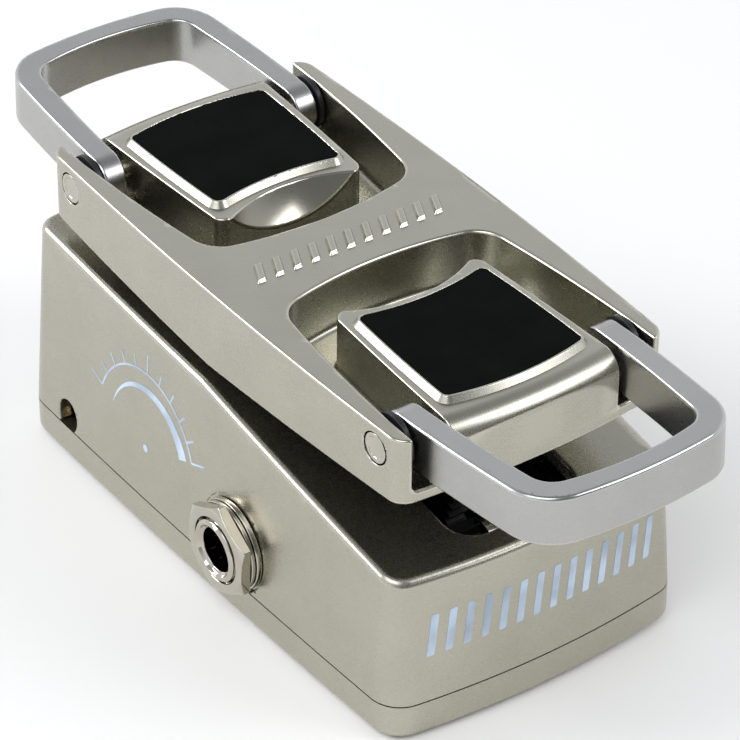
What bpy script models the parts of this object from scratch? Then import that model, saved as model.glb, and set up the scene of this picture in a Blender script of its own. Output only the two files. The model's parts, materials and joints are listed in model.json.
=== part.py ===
"""A small rocker volume pedal with a flip-out loop handle at each end, built piece by piece."""

import math

import bmesh
import bpy
import numpy as np
from mathutils import Matrix, Vector

for leftover in list(bpy.data.objects):
    bpy.data.objects.remove(leftover, do_unlink=True)

MM = 0.001
GAP = 0.3

# ---- driving dimensions, in millimetres. X is the width, Y the length, Z is up ----
BASE_HALF_WIDTH = 24.95
BASE_HALF_LENGTH = 46.77
BASE_SIDE_BOW = 0.72
BASE_END_BOW = 2.07
BASE_CORNER = 4.9
BASE_DRAFT = 0.0666
SEAM_Z = 5.5
SEAM_GAP = 0.3
RUN = 0.08
RIDGE_Z = 32.55
FAR_SLOPE = 0.0585
NEAR_SLOPE = 0.1734
BASE_TOP_FILLET = 1.6
WALL = 2.2
COVER_FLOOR = 2.0
COVER_EDGE_ROUND = 1.3
MAT_RECESS = 0.8
MAT_PROUD = 0.5

OPENING_HALF_WIDTH = 10.3
OPENING_NEAR_Y = -41.4
OPENING_FAR_Y = 7.5

PIVOT_Z = 27.0
PIVOT_R = 2.0
BASE_LUG_X = (11.3, 15.3)
TREADLE_LUG_X = (6.3, 9.8)
TREADLE_TILT = math.radians(1.11)
TREADLE_Y = -1.58
TREADLE_Z = 47.35
TREADLE_HALF_WIDTH = 22.42
TREADLE_HALF_LENGTH = 42.43
TREADLE_SIDE_BOW = 1.08
TREADLE_END_BOW = 1.15
TREADLE_CORNER = 2.7
TREADLE_DEPTH = 12.56
TREADLE_RISE = 0.0545
TREADLE_APEX_V = 0.8
TREADLE_EDGE = 0.8

POCKET_DEPTH = 8.3
POCKET_MOUTH_HALF = 19.15
POCKET_END_HALF = 16.6
POCKET_END_V = 6.1
POCKET_CORNER = 5.2

BLOCK_OUT_V = 42.2
BLOCK_IN_V = 13.0
BLOCK_LONG_V = 52.0
BLOCK_LONG_HALF = 13.75
BLOCK_IN_HALF = 12.1
BLOCK_SHOULDER = 4.9
SCOOP_R = 23.2
SCOOP_V = 5.35
SCOOP_D = 9.3
PAD_RISE = 0.65
PAD_SEAT = 1.2

PIN_V = 36.1
PIN_D = -3.6
PIN_R = 1.9
PIN_HEAD_R = 2.15

HANDLE_HEIGHT = 7.3
HANDLE_BAR = 3.5
HANDLE_TIP_BAR = 3.3
HANDLE_LENGTH = 28.3
HANDLE_ROOT_HALF = 17.85
HANDLE_TIP_HALF = 15.95
HANDLE_TILT = {-1: math.radians(3.3), 1: math.radians(2.0)}
WASHER_T = 0.7

JACK_Y = -8.9
JACK_Z = 11.3
JACK_SEAT_X = -24.15
JACK_SEAT_R = 7.1
JACK_HOLE_R = 4.85
JACK_SLEEVE_R = 4.57
JACK_BORE_R = 3.25
JACK_NUT_R = 7.25
JACK_NUT_TURN = 34
SCREW_HOLE_Y = 33.8
SCREW_HOLE_Z = 7.4
SCREW_HOLE_R = 2.45

PINION_R = 3.5
PINION_Y = -30.4
PINION_Z = 13.4
SECTOR_R = math.hypot(PINION_Y, PINION_Z - PIVOT_Z) - PINION_R - 0.08

PARTS = bpy.data.collections.new("volume_pedal")
CUTTERS = bpy.data.collections.new("cutters")
bpy.context.scene.collection.children.link(PARTS)
bpy.context.scene.collection.children.link(CUTTERS)
CUTTERS.hide_render = True


# ---- materials ----
def material(name, colour, metallic, roughness):
    made = bpy.data.materials.new(name)
    made.use_nodes = True
    shader = made.node_tree.nodes["Principled BSDF"]
    shader.inputs["Base Color"].default_value = (*colour, 1.0)
    shader.inputs["Metallic"].default_value = metallic
    shader.inputs["Roughness"].default_value = roughness
    return made


SHELL_METAL = material("satin_nickel_metal", (0.42, 0.40, 0.35), 0.9, 0.35)
HANDLE_METAL = material("satin_aluminium", (0.47, 0.48, 0.48), 0.95, 0.3)
BRIGHT_METAL = material("chrome_plate", (0.7, 0.7, 0.7), 1.0, 0.15)
STEEL = material("bright_steel", (0.55, 0.55, 0.54), 1.0, 0.3)
DARK_STEEL = material("black_oxide_steel", (0.03, 0.03, 0.03), 0.8, 0.4)
BLACK_RUBBER = material("black_rubber", (0.012, 0.012, 0.012), 0.0, 0.7)
BLACK_PLASTIC = material("black_plastic", (0.02, 0.02, 0.022), 0.0, 0.4)
BOARD_GREEN = material("board_laminate", (0.02, 0.12, 0.05), 0.0, 0.4)
BRONZE = material("contact_bronze", (0.65, 0.48, 0.25), 1.0, 0.3)


# ---- building helpers ----
def finish_mesh(bm, name, where, mat):
    bmesh.ops.recalc_face_normals(bm, faces=bm.faces)
    mesh = bpy.data.meshes.new(name)
    bm.to_mesh(mesh)
    bm.free()
    obj = bpy.data.objects.new(name, mesh)
    where.objects.link(obj)
    if mat is not None:
        mesh.materials.append(mat)
    if where is CUTTERS:
        obj.hide_render = True
        obj.display_type = "WIRE"
    return obj


def loft(name, rings, where=None, mat=None, split=None):
    """A solid from rings of points in millimetres; split gives the two ridge points of a folded end cap."""
    bm = bmesh.new()
    layers = [[bm.verts.new([c * MM for c in p]) for p in ring] for ring in rings]
    count = len(layers[0])
    for low, high in zip(layers, layers[1:]):
        for i in range(count):
            j = (i + 1) % count
            bm.faces.new((low[i], low[j], high[j], high[i]))
    for end, ring in (("low", layers[0]), ("high", layers[-1])):
        if split and end in split:
            a, b = split[end]
            bm.faces.new(ring[a : b + 1])
            bm.faces.new(ring[b:] + ring[: a + 1])
        else:
            bm.faces.new(ring)
    return finish_mesh(bm, name, where or CUTTERS, mat)


def prism(name, outline, low, high, where=None, mat=None):
    """An outline in XY, drawn out from one height to another."""
    return loft(name, [[(x, y, z) for x, y in outline] for z in (low, high)], where, mat)


def side_prism(name, outline, low, high, where=None, mat=None):
    """An outline in YZ, drawn out along X."""
    return loft(name, [[(x, y, z) for y, z in outline] for x in (low, high)], where, mat)


def box(name, low, high, where=None, mat=None):
    x0, y0, z0 = low
    x1, y1, z1 = high
    return prism(name, [(x0, y0), (x1, y0), (x1, y1), (x0, y1)], z0, z1, where, mat)


def circle(cx, cy, radius, count, turn=0.0):
    angles = [turn + 2 * math.pi * i / count for i in range(count)]
    return [(cx + radius * math.cos(a), cy + radius * math.sin(a)) for a in angles]


def rod(name, axis, centre, low, high, radius, count=24, where=None, mat=None, turn=0.0):
    """A round or many-sided bar along X or Z, centre in the other two axes."""
    ring = circle(centre[0], centre[1], radius, count, turn)
    if axis == "x":
        return side_prism(name, ring, low, high, where, mat)
    return prism(name, ring, low, high, where, mat)


def turned(name, axis, centre, profile, count=24, where=None, mat=None):
    """Rings of (position along the axis, radius), the first and last closed by a flat cap."""
    rings = []
    for along, radius in profile:
        ring = circle(centre[0], centre[1], radius, count)
        if axis == "x":
            rings.append([(along, y, z) for y, z in ring])
        else:
            rings.append([(x, y, along) for x, y in ring])
    return loft(name, rings, where, mat)


def apply_boolean(target, cutter, operation):
    modifier = target.modifiers.new(operation.lower(), "BOOLEAN")
    modifier.operation = operation
    modifier.solver = "EXACT"
    modifier.object = cutter
    bpy.context.view_layer.update()
    graph = bpy.context.evaluated_depsgraph_get()
    made = bpy.data.meshes.new_from_object(target.evaluated_get(graph))
    target.modifiers.clear()
    old = target.data
    kept = [slot.material for slot in target.material_slots]
    target.data = made
    bpy.data.meshes.remove(old)
    made.materials.clear()
    for mat in kept[:1]:
        made.materials.append(mat)
    bpy.data.objects.remove(cutter, do_unlink=True)


def cut(target, cutter):
    apply_boolean(target, cutter, "DIFFERENCE")


def join(target, other):
    apply_boolean(target, other, "UNION")


def keep_inside(target, other):
    apply_boolean(target, other, "INTERSECT")


def shade(obj, degrees=32.0):
    mesh = obj.data
    mesh.shade_smooth()
    mesh.set_sharp_from_angle(angle=math.radians(degrees))


def bowed_rectangle(half_w, half_l, side_bow, end_bow, corner, side_steps=5, corner_steps=6, end_steps=4):
    """Four shallow arcs joined by round corners: points and outward directions, from (+X, 0) turning left."""
    short_w = half_w - side_bow
    short_l = half_l - end_bow
    side_r = (short_l**2 + side_bow**2) / (2 * side_bow)
    end_r = (short_w**2 + end_bow**2) / (2 * end_bow)
    side_c = np.array([half_w - side_r, 0.0])
    end_c = np.array([0.0, half_l - end_r])
    reach_a = side_r - corner
    reach_b = end_r - corner
    span = np.linalg.norm(end_c - side_c)
    along = (end_c - side_c) / span
    across = np.array([-along[1], along[0]])
    foot = (span**2 + reach_a**2 - reach_b**2) / (2 * span)
    height = math.sqrt(max(reach_a**2 - foot**2, 0.0))
    corner_c = side_c + foot * along + height * across
    if corner_c[0] < 0 or corner_c[1] < 0:
        corner_c = side_c + foot * along - height * across
    first = math.atan2(*(corner_c - side_c)[::-1])
    last = math.atan2(*(corner_c - end_c)[::-1])
    quarter = []
    for centre, radius, start, stop, steps in (
        (side_c, side_r, 0.0, first, side_steps),
        (corner_c, corner, first, last, corner_steps),
        (end_c, end_r, last, math.pi / 2, end_steps),
    ):
        for t in np.linspace(start, stop, steps + 1)[:-1]:
            way = np.array([math.cos(t), math.sin(t)])
            quarter.append((centre + radius * way, way))
    top = (np.array([0.0, half_l]), np.array([0.0, 1.0]))
    flip_x = np.array([-1.0, 1.0])
    half = quarter + [top] + [(p * flip_x, n * flip_x) for p, n in reversed(quarter[1:])]
    return half + [(-p, -n) for p, n in half]


def bend(p, q, bulge, count):
    """Points between p and q on a shallow curve, bulging to the left of the way from p to q."""
    p = np.array(p, float)
    q = np.array(q, float)
    way = q - p
    left = np.array([-way[1], way[0]]) / np.linalg.norm(way)
    found = []
    for t in np.linspace(0, 1, count + 2)[1:-1]:
        found.append(tuple(p + t * way + 4 * bulge * t * (1 - t) * left))
    return found


def fillet(outline, radii, steps=6):
    """Rounds the corners of a closed outline; a radius of 0 leaves the point."""
    made = []
    count = len(outline)
    for i, (point, radius) in enumerate(zip(outline, radii)):
        here = np.array(point, float)
        if radius <= 0:
            made.append(tuple(here))
            continue
        back = np.array(outline[i - 1], float) - here
        ahead = np.array(outline[(i + 1) % count], float) - here
        back /= np.linalg.norm(back)
        ahead /= np.linalg.norm(ahead)
        half = math.acos(float(np.clip(back @ ahead, -1, 1))) / 2
        reach = radius / math.tan(half)
        middle = (back + ahead) / np.linalg.norm(back + ahead)
        centre = here + middle * radius / math.sin(half)
        start = here + back * reach - centre
        end = here + ahead * reach - centre
        for t in np.linspace(0, 1, steps + 1):
            spot = start * (1 - t) + end * t
            made.append(tuple(centre + spot / np.linalg.norm(spot) * radius))
    return made


def panel(in_half, in_v, out_half, out_v, side_bulge, in_bow, out_bow, in_r, out_r, steps=5, sign=1):
    """A plate outline with bowed sides from in_v to out_v; sign -1 turns it to the near end."""
    corners = [(in_half, in_v), (out_half, out_v), (-out_half, out_v), (-in_half, in_v)]
    outline = [corners[0]]
    radii = [in_r]
    for start, stop, bulge, count, radius in (
        (0, 1, -side_bulge, 5, out_r),
        (1, 2, -out_bow, 4, out_r),
        (2, 3, -side_bulge, 5, in_r),
        (3, 0, -in_bow, 4, None),
    ):
        between = bend(corners[start], corners[stop], bulge, count)
        outline += between
        radii += [0] * len(between)
        if radius is not None:
            outline.append(corners[stop])
            radii.append(radius)
    made = fillet(outline, radii, steps)
    if sign < 0:
        made = [(-x, -y) for x, y in made]
    return made


# ---- placing ----
TREADLE_SPOT = Matrix.Translation((0, TREADLE_Y * MM, TREADLE_Z * MM))
TREADLE_FRAME = TREADLE_SPOT @ Matrix.Rotation(TREADLE_TILT, 4, "X")
PIVOT = Vector((0, 0, PIVOT_Z * MM))


def to_treadle(obj):
    obj.data.transform(TREADLE_FRAME)


def set_origin(obj, point):
    obj.data.transform(Matrix.Translation(-Vector(point)))
    obj.location = point


def base_height(y):
    return RIDGE_Z + (FAR_SLOPE if y > 0 else NEAR_SLOPE) * y


def treadle_bottom(v):
    return -TREADLE_DEPTH + TREADLE_RISE * abs(v - TREADLE_APEX_V)


# ---- base housing ----
def housing_rings(inset, floor_z, drop, round_r):
    """Rings from the seam to the two sloping top planes, set in from the outside by inset."""
    outline = bowed_rectangle(
        BASE_HALF_WIDTH, BASE_HALF_LENGTH, BASE_SIDE_BOW, BASE_END_BOW, BASE_CORNER
    )

    def wall(p, n, z, more):
        shift = BASE_DRAFT * (z - SEAM_Z) + inset + more
        return p[0] - n[0] * shift, p[1] - n[1] * shift

    rings = [[(*wall(p, n, floor_z, 0), floor_z) for p, n in outline]]
    for turn in (0, 25, 50, 72, 90):
        angle = math.radians(turn)
        more = round_r * (1 - math.cos(angle))
        lower = round_r * (1 - math.sin(angle))
        ring = []
        for p, n in outline:
            z = RIDGE_Z
            for _ in range(6):
                x, y = wall(p, n, z, more)
                z = base_height(y) - drop - lower
            ring.append((x, 0.0 if abs(p[1]) < 1e-9 else y, z))
        rings.append(ring)
    return rings, len(outline) // 2


rings, half_count = housing_rings(0, SEAM_Z + SEAM_GAP / 2, 0, BASE_TOP_FILLET)
ridge = {"high": (0, half_count)}
base = loft("base_housing", rings, PARTS, SHELL_METAL, split=ridge)
rings, half_count = housing_rings(WALL, -2.0, WALL + 0.2, 1.0)
cavity = loft("cavity", rings, split=ridge)
cut(base, cavity)

# the solid posts and bosses inside the shell
half_lug = [(2.6, PIVOT_Z - 4.6), (4.6, PIVOT_Z - 1.5), (4.6, RIDGE_Z - 1.4)]
lug_outline = [(-y, z) for y, z in reversed(half_lug)] + half_lug
for side in (-1, 1):
    join(base, side_prism("axle_lug", lug_outline, *sorted(side * x for x in BASE_LUG_X)))
SCREW_SPOTS = [(18.0, 40.4), (-18.0, 40.4), (18.0, -40.4), (-18.0, -40.4)]
for x, y in SCREW_SPOTS:
    join(base, rod("corner_post", "z", (x, y), COVER_FLOOR + GAP, base_height(y) - 1.2, 2.6, 20))
    cut(base, rod("corner_bore", "z", (x, y), -1, 12.0, 1.25, 12))
BOARD_SPOTS = [(18.8, -5.0), (18.8, -29.0)]
BOARD_BOTTOM = 3.6
BOARD_TOP = 5.0
for x, y in BOARD_SPOTS:
    join(base, rod("board_post", "z", (x, y), BOARD_TOP + GAP, base_height(y) - 1.2, 2.4, 16))
    cut(base, rod("board_bore", "z", (x, y), -1, 11.0, 0.85, 12))

# the rocker opening and the axle bore
opening = fillet(
    [
        (-OPENING_HALF_WIDTH, OPENING_NEAR_Y),
        (OPENING_HALF_WIDTH, OPENING_NEAR_Y),
        (OPENING_HALF_WIDTH, OPENING_FAR_Y),
        (-OPENING_HALF_WIDTH, OPENING_FAR_Y),
    ],
    [4.5, 4.5, 3.2, 3.2],
    6,
)
cut(base, prism("opening", opening, 18, 45))
cut(base, rod("axle_bore", "x", (0, PIVOT_Z), -20, 20, PIVOT_R + RUN, 24))
# the trimmer's access hole, low on the left wall
cut(base, rod("trim_hole", "x", (SCREW_HOLE_Y, SCREW_HOLE_Z), -30, -20.5, SCREW_HOLE_R, 24))

# the jack's flat seat and hole
cut(base, rod("jack_seat", "x", (JACK_Y, JACK_Z), -40, JACK_SEAT_X, JACK_SEAT_R, 40))
cut(base, rod("jack_hole", "x", (JACK_Y, JACK_Z), -30, -20, JACK_HOLE_R, 28))

# bumper recesses
HEEL_Y = 30.0
TOE_Y = -20.0
BUMPERS = {
    "heel_bumper_right": (15.8, HEEL_Y),
    "heel_bumper_left": (-15.8, HEEL_Y),
    "toe_bumper_right": (13.4, TOE_Y),
    "toe_bumper_left": (-13.4, TOE_Y),
}
for name, (x, y) in BUMPERS.items():
    cut(base, rod("bumper_seat", "z", (x, y), base_height(y) - 1.0, 60, 1.9, 18))
shade(base)

# ---- bottom cover ----
outline = bowed_rectangle(BASE_HALF_WIDTH, BASE_HALF_LENGTH, BASE_SIDE_BOW, BASE_END_BOW, BASE_CORNER)
rings = []
for turn in (0, 30, 60, 90):
    angle = math.radians(turn)
    more = COVER_EDGE_ROUND * (1 - math.sin(angle))
    z = COVER_EDGE_ROUND * (1 - math.cos(angle))
    rings.append([(p[0] - n[0] * more, p[1] - n[1] * more, z) for p, n in outline])
rings.append([(p[0], p[1], SEAM_Z - SEAM_GAP / 2) for p, n in outline])
cover = loft("bottom_cover", rings, PARTS, SHELL_METAL)
tray = [[(p[0] - n[0] * WALL, p[1] - n[1] * WALL, z) for p, n in outline] for z in (COVER_FLOOR, 20.0)]
cut(cover, loft("tray", tray))
mat_outline = bowed_rectangle(20.6, 36.8, 0.5, 1.0, 4.0)
cut(cover, prism("mat_seat", [tuple(p) for p, n in mat_outline], -5, MAT_RECESS))
cut(cover, rod("cover_jack_seat", "x", (JACK_Y, JACK_Z), -40, JACK_SEAT_X, JACK_SEAT_R, 40))
for x, y in SCREW_SPOTS:
    cut(cover, rod("cover_hole", "z", (x, y), -5, 9, 1.35, 18))
    cut(cover, rod("head_seat", "z", (x, y), -5, 1.3, 2.75, 22))
shade(cover)

# ---- rubber mat under the cover ----
mat_half = bowed_rectangle(20.3, 36.5, 0.5, 1.0, 3.7)
mat = prism("base_mat", [tuple(p) for p, n in mat_half], -MAT_PROUD, MAT_RECESS - GAP, PARTS, BLACK_RUBBER)

# ---- cover screws ----
for i, (x, y) in enumerate(SCREW_SPOTS, start=1):
    screw = turned(
        f"cover_screw_{i}",
        "z",
        (x, y),
        [(0.1, 2.1), (0.35, 2.4), (1.0, 2.4), (1.001, 1.0), (10.5, 1.0), (11.2, 0.6)],
        20,
        PARTS,
        DARK_STEEL,
    )
    cut(screw, rod("key_recess", "z", (x, y), -2, 0.7, 0.95, 6))
    shade(screw)

# ---- pivot axle and its clips ----
axle = turned(
    "pivot_axle",
    "x",
    (0, PIVOT_Z),
    [(-17.2, 1.7), (-16.9, PIVOT_R), (-16.35, PIVOT_R), (-16.349, 1.5), (-15.75, 1.5), (-15.749, PIVOT_R)]
    + [(15.749, PIVOT_R), (15.75, 1.5), (16.349, 1.5), (16.35, PIVOT_R), (16.9, PIVOT_R), (17.2, 1.7)],
    24,
    PARTS,
    STEEL,
)
shade(axle)
for name, side in (("axle_clip_left", -1), ("axle_clip_right", 1)):
    low, high = sorted((side * 15.9, side * 16.2))
    clip = rod(name, "x", (0, PIVOT_Z), low, high, 2.8, 24, PARTS, DARK_STEEL)
    cut(clip, rod("clip_bore", "x", (0, PIVOT_Z), low - 1, high + 1, 1.75, 20))
    cut(clip, box("clip_mouth", (low - 1, -1.3, PIVOT_Z - 6), (high + 1, 1.3, PIVOT_Z)))

# ---- treadle ----
plate = bowed_rectangle(
    TREADLE_HALF_WIDTH, TREADLE_HALF_LENGTH, TREADLE_SIDE_BOW, TREADLE_END_BOW, TREADLE_CORNER, 6, 5, 5
)
rings = []
for turn in (90, 45, 0):
    angle = math.radians(turn)
    more = 0.5 * (1 - math.cos(angle))
    up = 0.5 * (1 - math.sin(angle))
    ring = []
    for p, n in plate:
        x = p[0] - n[0] * more
        v = TREADLE_APEX_V if abs(p[1]) < 1e-9 else p[1] - n[1] * more
        ring.append((x, v, treadle_bottom(v) + up))
    rings.append(ring)
for turn in (0, 30, 60, 90):
    angle = math.radians(turn)
    more = TREADLE_EDGE * (1 - math.cos(angle))
    down = TREADLE_EDGE * (1 - math.sin(angle))
    ring = []
    for p, n in plate:
        v = TREADLE_APEX_V if abs(p[1]) < 1e-9 else p[1] - n[1] * more
        ring.append((p[0] - n[0] * more, v, -down))
    rings.append(ring)
treadle = loft("treadle", rings, PARTS, SHELL_METAL, split={"low": (0, len(plate) // 2)})


def pocket_outline(sign):
    mouth = 48.0
    grow = (POCKET_MOUTH_HALF - POCKET_END_HALF) / (46.0 - POCKET_END_V)
    wide = POCKET_MOUTH_HALF + grow * (mouth - 46.0)
    return panel(POCKET_END_HALF, POCKET_END_V + 2.4, wide, mouth, 0.85, 2.4, 0, POCKET_CORNER, 0, 6, sign)


for name, sign in (("front", -1), ("rear", 1)):
    pocket = prism("pocket", pocket_outline(sign), -POCKET_DEPTH, 6)
    block = prism(
        "block",
        panel(BLOCK_IN_HALF, BLOCK_IN_V, BLOCK_LONG_HALF, BLOCK_LONG_V, 0.25, 0, 0, 3.4, 0, 5, sign),
        -POCKET_DEPTH - 4.0,
        -0.15,
    )
    # the rim's bevel: a slightly smaller, tapered copy is what stays inside
    rim = []
    for inset, d in ((-2.0, -14.0), (-2.0, -2.6), (0.0, -0.75), (0.5, -0.15), (0.6, 1.0)):
        outline = panel(
            BLOCK_IN_HALF - inset,
            BLOCK_IN_V + inset,
            BLOCK_LONG_HALF - inset,
            BLOCK_LONG_V + 1.0,
            0.25,
            0,
            0,
            3.4,
            0,
            5,
            sign,
        )
        rim.append([(x, y, d) for x, y in outline])
    keep_inside(block, loft("rim", rim))
    # the rounded outer shoulder
    start_v = BLOCK_OUT_V + 0.5 - BLOCK_SHOULDER
    shoulder = [(start_v, -0.1), (start_v, 3.0), (60, 3.0), (60, -5.2)]
    for turn in range(0, 91, 10):
        angle = math.radians(turn)
        shoulder.append((start_v + BLOCK_SHOULDER * math.cos(angle), -5.2 + 5.06 * math.sin(angle)))
    cut(block, side_prism("shoulder", [(sign * v, d) for v, d in shoulder], -30, 30))
    # the finger scoop at the inner end
    ball = bmesh.new()
    bmesh.ops.create_uvsphere(ball, u_segments=64, v_segments=40, radius=SCOOP_R * MM)
    scoop = finish_mesh(ball, "scoop", CUTTERS, None)
    scoop.data.transform(Matrix.Translation((0, -sign * SCOOP_V * MM, SCOOP_D * MM)))
    cut(block, scoop)
    cut(pocket, block)
    cut(treadle, pocket)
    pad_hole = panel(9.95 + GAP, 16.9 - GAP, 11.9 + GAP, 36.4 + GAP, 0.25, -1.0, 1.0, 1.1, 1.1, 3, sign)
    cut(treadle, prism("pad_seat", pad_hole, -PAD_SEAT, 6))
    for side in (-1, 1):
        low, high = sorted((side * 18.0, side * 30.0))
        cut(treadle, rod("pin_hole", "x", (sign * PIN_V, PIN_D), low, high, PIN_HEAD_R + RUN, 20))
        low, high = sorted((side * 11.2, side * 15.0))
        cut(treadle, rod("pin_foot", "x", (sign * PIN_V, PIN_D), low, high, PIN_R - 0.45, 20))
    pad = prism(
        f"{name}_pad",
        panel(9.95, 16.9, 11.9, 36.4, 0.25, -1.0, 1.0, 0.8, 0.8, 3, sign),
        -PAD_SEAT + GAP,
        PAD_RISE,
        PARTS,
        BLACK_RUBBER,
    )
    to_treadle(pad)
    set_origin(pad, PIVOT)

# raised marks across the strip between the pockets, in place of lettering
for i in range(7):
    x = -15.0 + i * 5.0
    mark = fillet([(x - 1.9, -1.9), (x + 1.1, -1.9), (x + 1.9, 1.5), (x - 1.1, 1.5)], [0.3] * 4, 2)
    join(treadle, prism("mark", mark, -0.4, 0.3))
shade(treadle)
to_treadle(treadle)

# the treadle's two pivot lugs reach down through the opening
LUG_R = 4.2
lug_outline = [(-6.0, 37.0)]
for turn in range(180, 361, 15):
    angle = math.radians(turn)
    lug_outline.append((LUG_R * math.cos(angle), PIVOT_Z + LUG_R * math.sin(angle)))
lug_outline.append((6.0, 37.0))
for side in (-1, 1):
    join(treadle, side_prism("treadle_lug", lug_outline, *sorted(side * x for x in TREADLE_LUG_X)))
cut(treadle, rod("treadle_bore", "x", (0, PIVOT_Z), -12, 12, PIVOT_R + RUN, 24))
shade(treadle)
set_origin(treadle, PIVOT)


# ---- handles, pins and washers ----
def handle_outline(inset):
    """Half of the U from the tip's middle to the hinge, as (x, distance from the hinge)."""
    tip = HANDLE_TIP_HALF - inset
    root = HANDLE_ROOT_HALF - inset
    length = HANDLE_LENGTH - inset * HANDLE_TIP_BAR / HANDLE_BAR
    return panel(tip, -(length - 1.6), root, 14.0, 0.7, 1.7, 0, max(7.8 - 1.12 * inset, 3.6), 0, 7, 1)


def make_handle(name, sign):
    """The U lies along the hinge's outward side; it is built flat, then tilted and moved onto its hinge."""
    half = HANDLE_HEIGHT / 2
    rings = []
    for inset, z in ((0.45, -half), (0.0, -half + 0.45), (0.0, half - 0.7), (0.7, half)):
        ring = [(x, -s, z) for x, s in handle_outline(inset)]
        rings.append(ring)
    body = loft(name, rings, PARTS, HANDLE_METAL)
    rings = []
    for inset, z in (
        (HANDLE_BAR - 0.6, -half - 0.4),
        (HANDLE_BAR, -half + 0.4),
        (HANDLE_BAR, half - 0.5),
        (HANDLE_BAR - 0.7, half + 0.4),
    ):
        rings.append([(x, -s, z) for x, s in handle_outline(inset)])
    cut(body, loft("handle_inside", rings))
    # the arms end in a barrel round the hinge
    keep = [(0.0, half + 1), (60.0, half + 1), (60.0, -half - 1), (0.0, -half - 1)]
    for turn in range(255, 104, -15):
        angle = math.radians(turn)
        keep.append((half * math.cos(angle), half * math.sin(angle)))
    keep_inside(body, side_prism("barrel", keep, -40, 40))
    cut(body, rod("hinge_bore", "x", (0, 0), -40, 40, PIN_R + RUN, 20))
    body.data.transform(Matrix.Rotation(HANDLE_TILT[sign], 4, "X"))
    if sign < 0:
        body.data.transform(Matrix.Rotation(math.pi, 4, "Z"))
    body.data.transform(Matrix.Translation((0, sign * PIN_V * MM, PIN_D * MM)))
    to_treadle(body)
    shade(body)
    hinge = TREADLE_FRAME @ Vector((0, sign * PIN_V * MM, PIN_D * MM))
    set_origin(body, hinge)
    end = name.split("_")[0]
    centre = (sign * PIN_V, PIN_D)
    tip_x = TREADLE_HALF_WIDTH - TREADLE_SIDE_BOW * (PIN_V / TREADLE_HALF_LENGTH) ** 2 - 0.15
    for side_name, side in (("left", -1), ("right", 1)):
        profile = [(11.9, PIN_R - 0.55), (14.1, PIN_R - 0.55), (14.101, PIN_R), (19.3, PIN_R)]
        profile += [(19.301, PIN_HEAD_R), (tip_x - 0.25, PIN_HEAD_R), (tip_x, PIN_HEAD_R - 0.25)]
        profile = [(side * along, radius) for along, radius in profile]
        pin = turned(f"{end}_pin_{side_name}", "x", centre, profile, 20, PARTS, STEEL)
        low, high = sorted((side * (HANDLE_ROOT_HALF + 0.25), side * (POCKET_MOUTH_HALF - 0.3)))
        washer = rod(f"{end}_washer_{side_name}", "x", centre, low, high, 3.9, 28, PARTS, BLACK_PLASTIC)
        cut(washer, rod("washer_bore", "x", centre, low - 1, high + 1, PIN_R + RUN, 20))
        for piece in (pin, washer):
            to_treadle(piece)
            set_origin(piece, hinge)
            shade(piece)


make_handle("front_handle", -1)
make_handle("rear_handle", 1)

# ---- bumpers ----
for name, (x, y) in BUMPERS.items():
    low = base_height(y) - 1.0 + GAP
    high = base_height(y) + (1.7 if y > 0 else 2.4)
    bumper = turned(name, "z", (x, y), [(low, 1.6), (high - 0.5, 1.6), (high, 1.1)], 18, PARTS, BLACK_RUBBER)
    shade(bumper)


# ---- geared drive: a sector under the treadle turns the pinion on the potentiometer ----
def gear_teeth(centre, radius, middles, step, out=0.55, root=0.75):
    """Straight-sided teeth round a centre, each (root, tip, tip, root) at its middle angle."""
    made = []
    for middle in middles:
        for shift, reach in ((-0.33, -root), (-0.1, out), (0.1, out), (0.33, -root)):
            angle = middle + shift * step
            at = radius + reach
            made.append((centre[0] + at * math.cos(angle), centre[1] + at * math.sin(angle)))
    return made


PINION_TEETH = 14
SECTOR_X = (-3.0, 0.0)
mesh_angle = math.atan2(PINION_Z - PIVOT_Z, PINION_Y)
sector_step = 2 * math.pi * PINION_R / PINION_TEETH / SECTOR_R
middles = [mesh_angle + (k - 5.5) * sector_step for k in range(9)]
first = middles[0] - 0.5 * sector_step
last = middles[-1] + 0.5 * sector_step
inner_r = SECTOR_R - 5.0
root_r = SECTOR_R - 0.75
sector_outline = [(root_r * math.cos(first), PIVOT_Z + root_r * math.sin(first))]
sector_outline += gear_teeth((0, PIVOT_Z), SECTOR_R, middles, sector_step)
sector_outline += [(root_r * math.cos(last), PIVOT_Z + root_r * math.sin(last))]
sector_outline += [
    (inner_r * math.cos(a), PIVOT_Z + inner_r * math.sin(a)) for a in np.linspace(last, first, 10)
]
sector = side_prism("sector_gear", sector_outline, SECTOR_X[0], SECTOR_X[1], PARTS, BLACK_PLASTIC)
arm_outline = [(-30.4, 22.5), (-24.6, 22.5), (-22.0, 34.0), (-30.4, 34.0)]
join(sector, side_prism("sector_arm", arm_outline, *SECTOR_X))
FLANGE_V = (-30.0, -20.0)
flange_outline = [
    (FLANGE_V[0], treadle_bottom(FLANGE_V[0]) - GAP),
    (FLANGE_V[1], treadle_bottom(FLANGE_V[1]) - GAP),
    (FLANGE_V[1], treadle_bottom(FLANGE_V[1]) - 2.1),
    (FLANGE_V[0], treadle_bottom(FLANGE_V[0]) - 2.1),
]
flange = side_prism("sector_flange", flange_outline, -9.0, 6.0)
to_treadle(flange)
join(sector, flange)
FLANGE_SCREWS = [(-6.5, -25.0), (3.5, -25.0)]
flange_d = treadle_bottom(-25.0)
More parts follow.
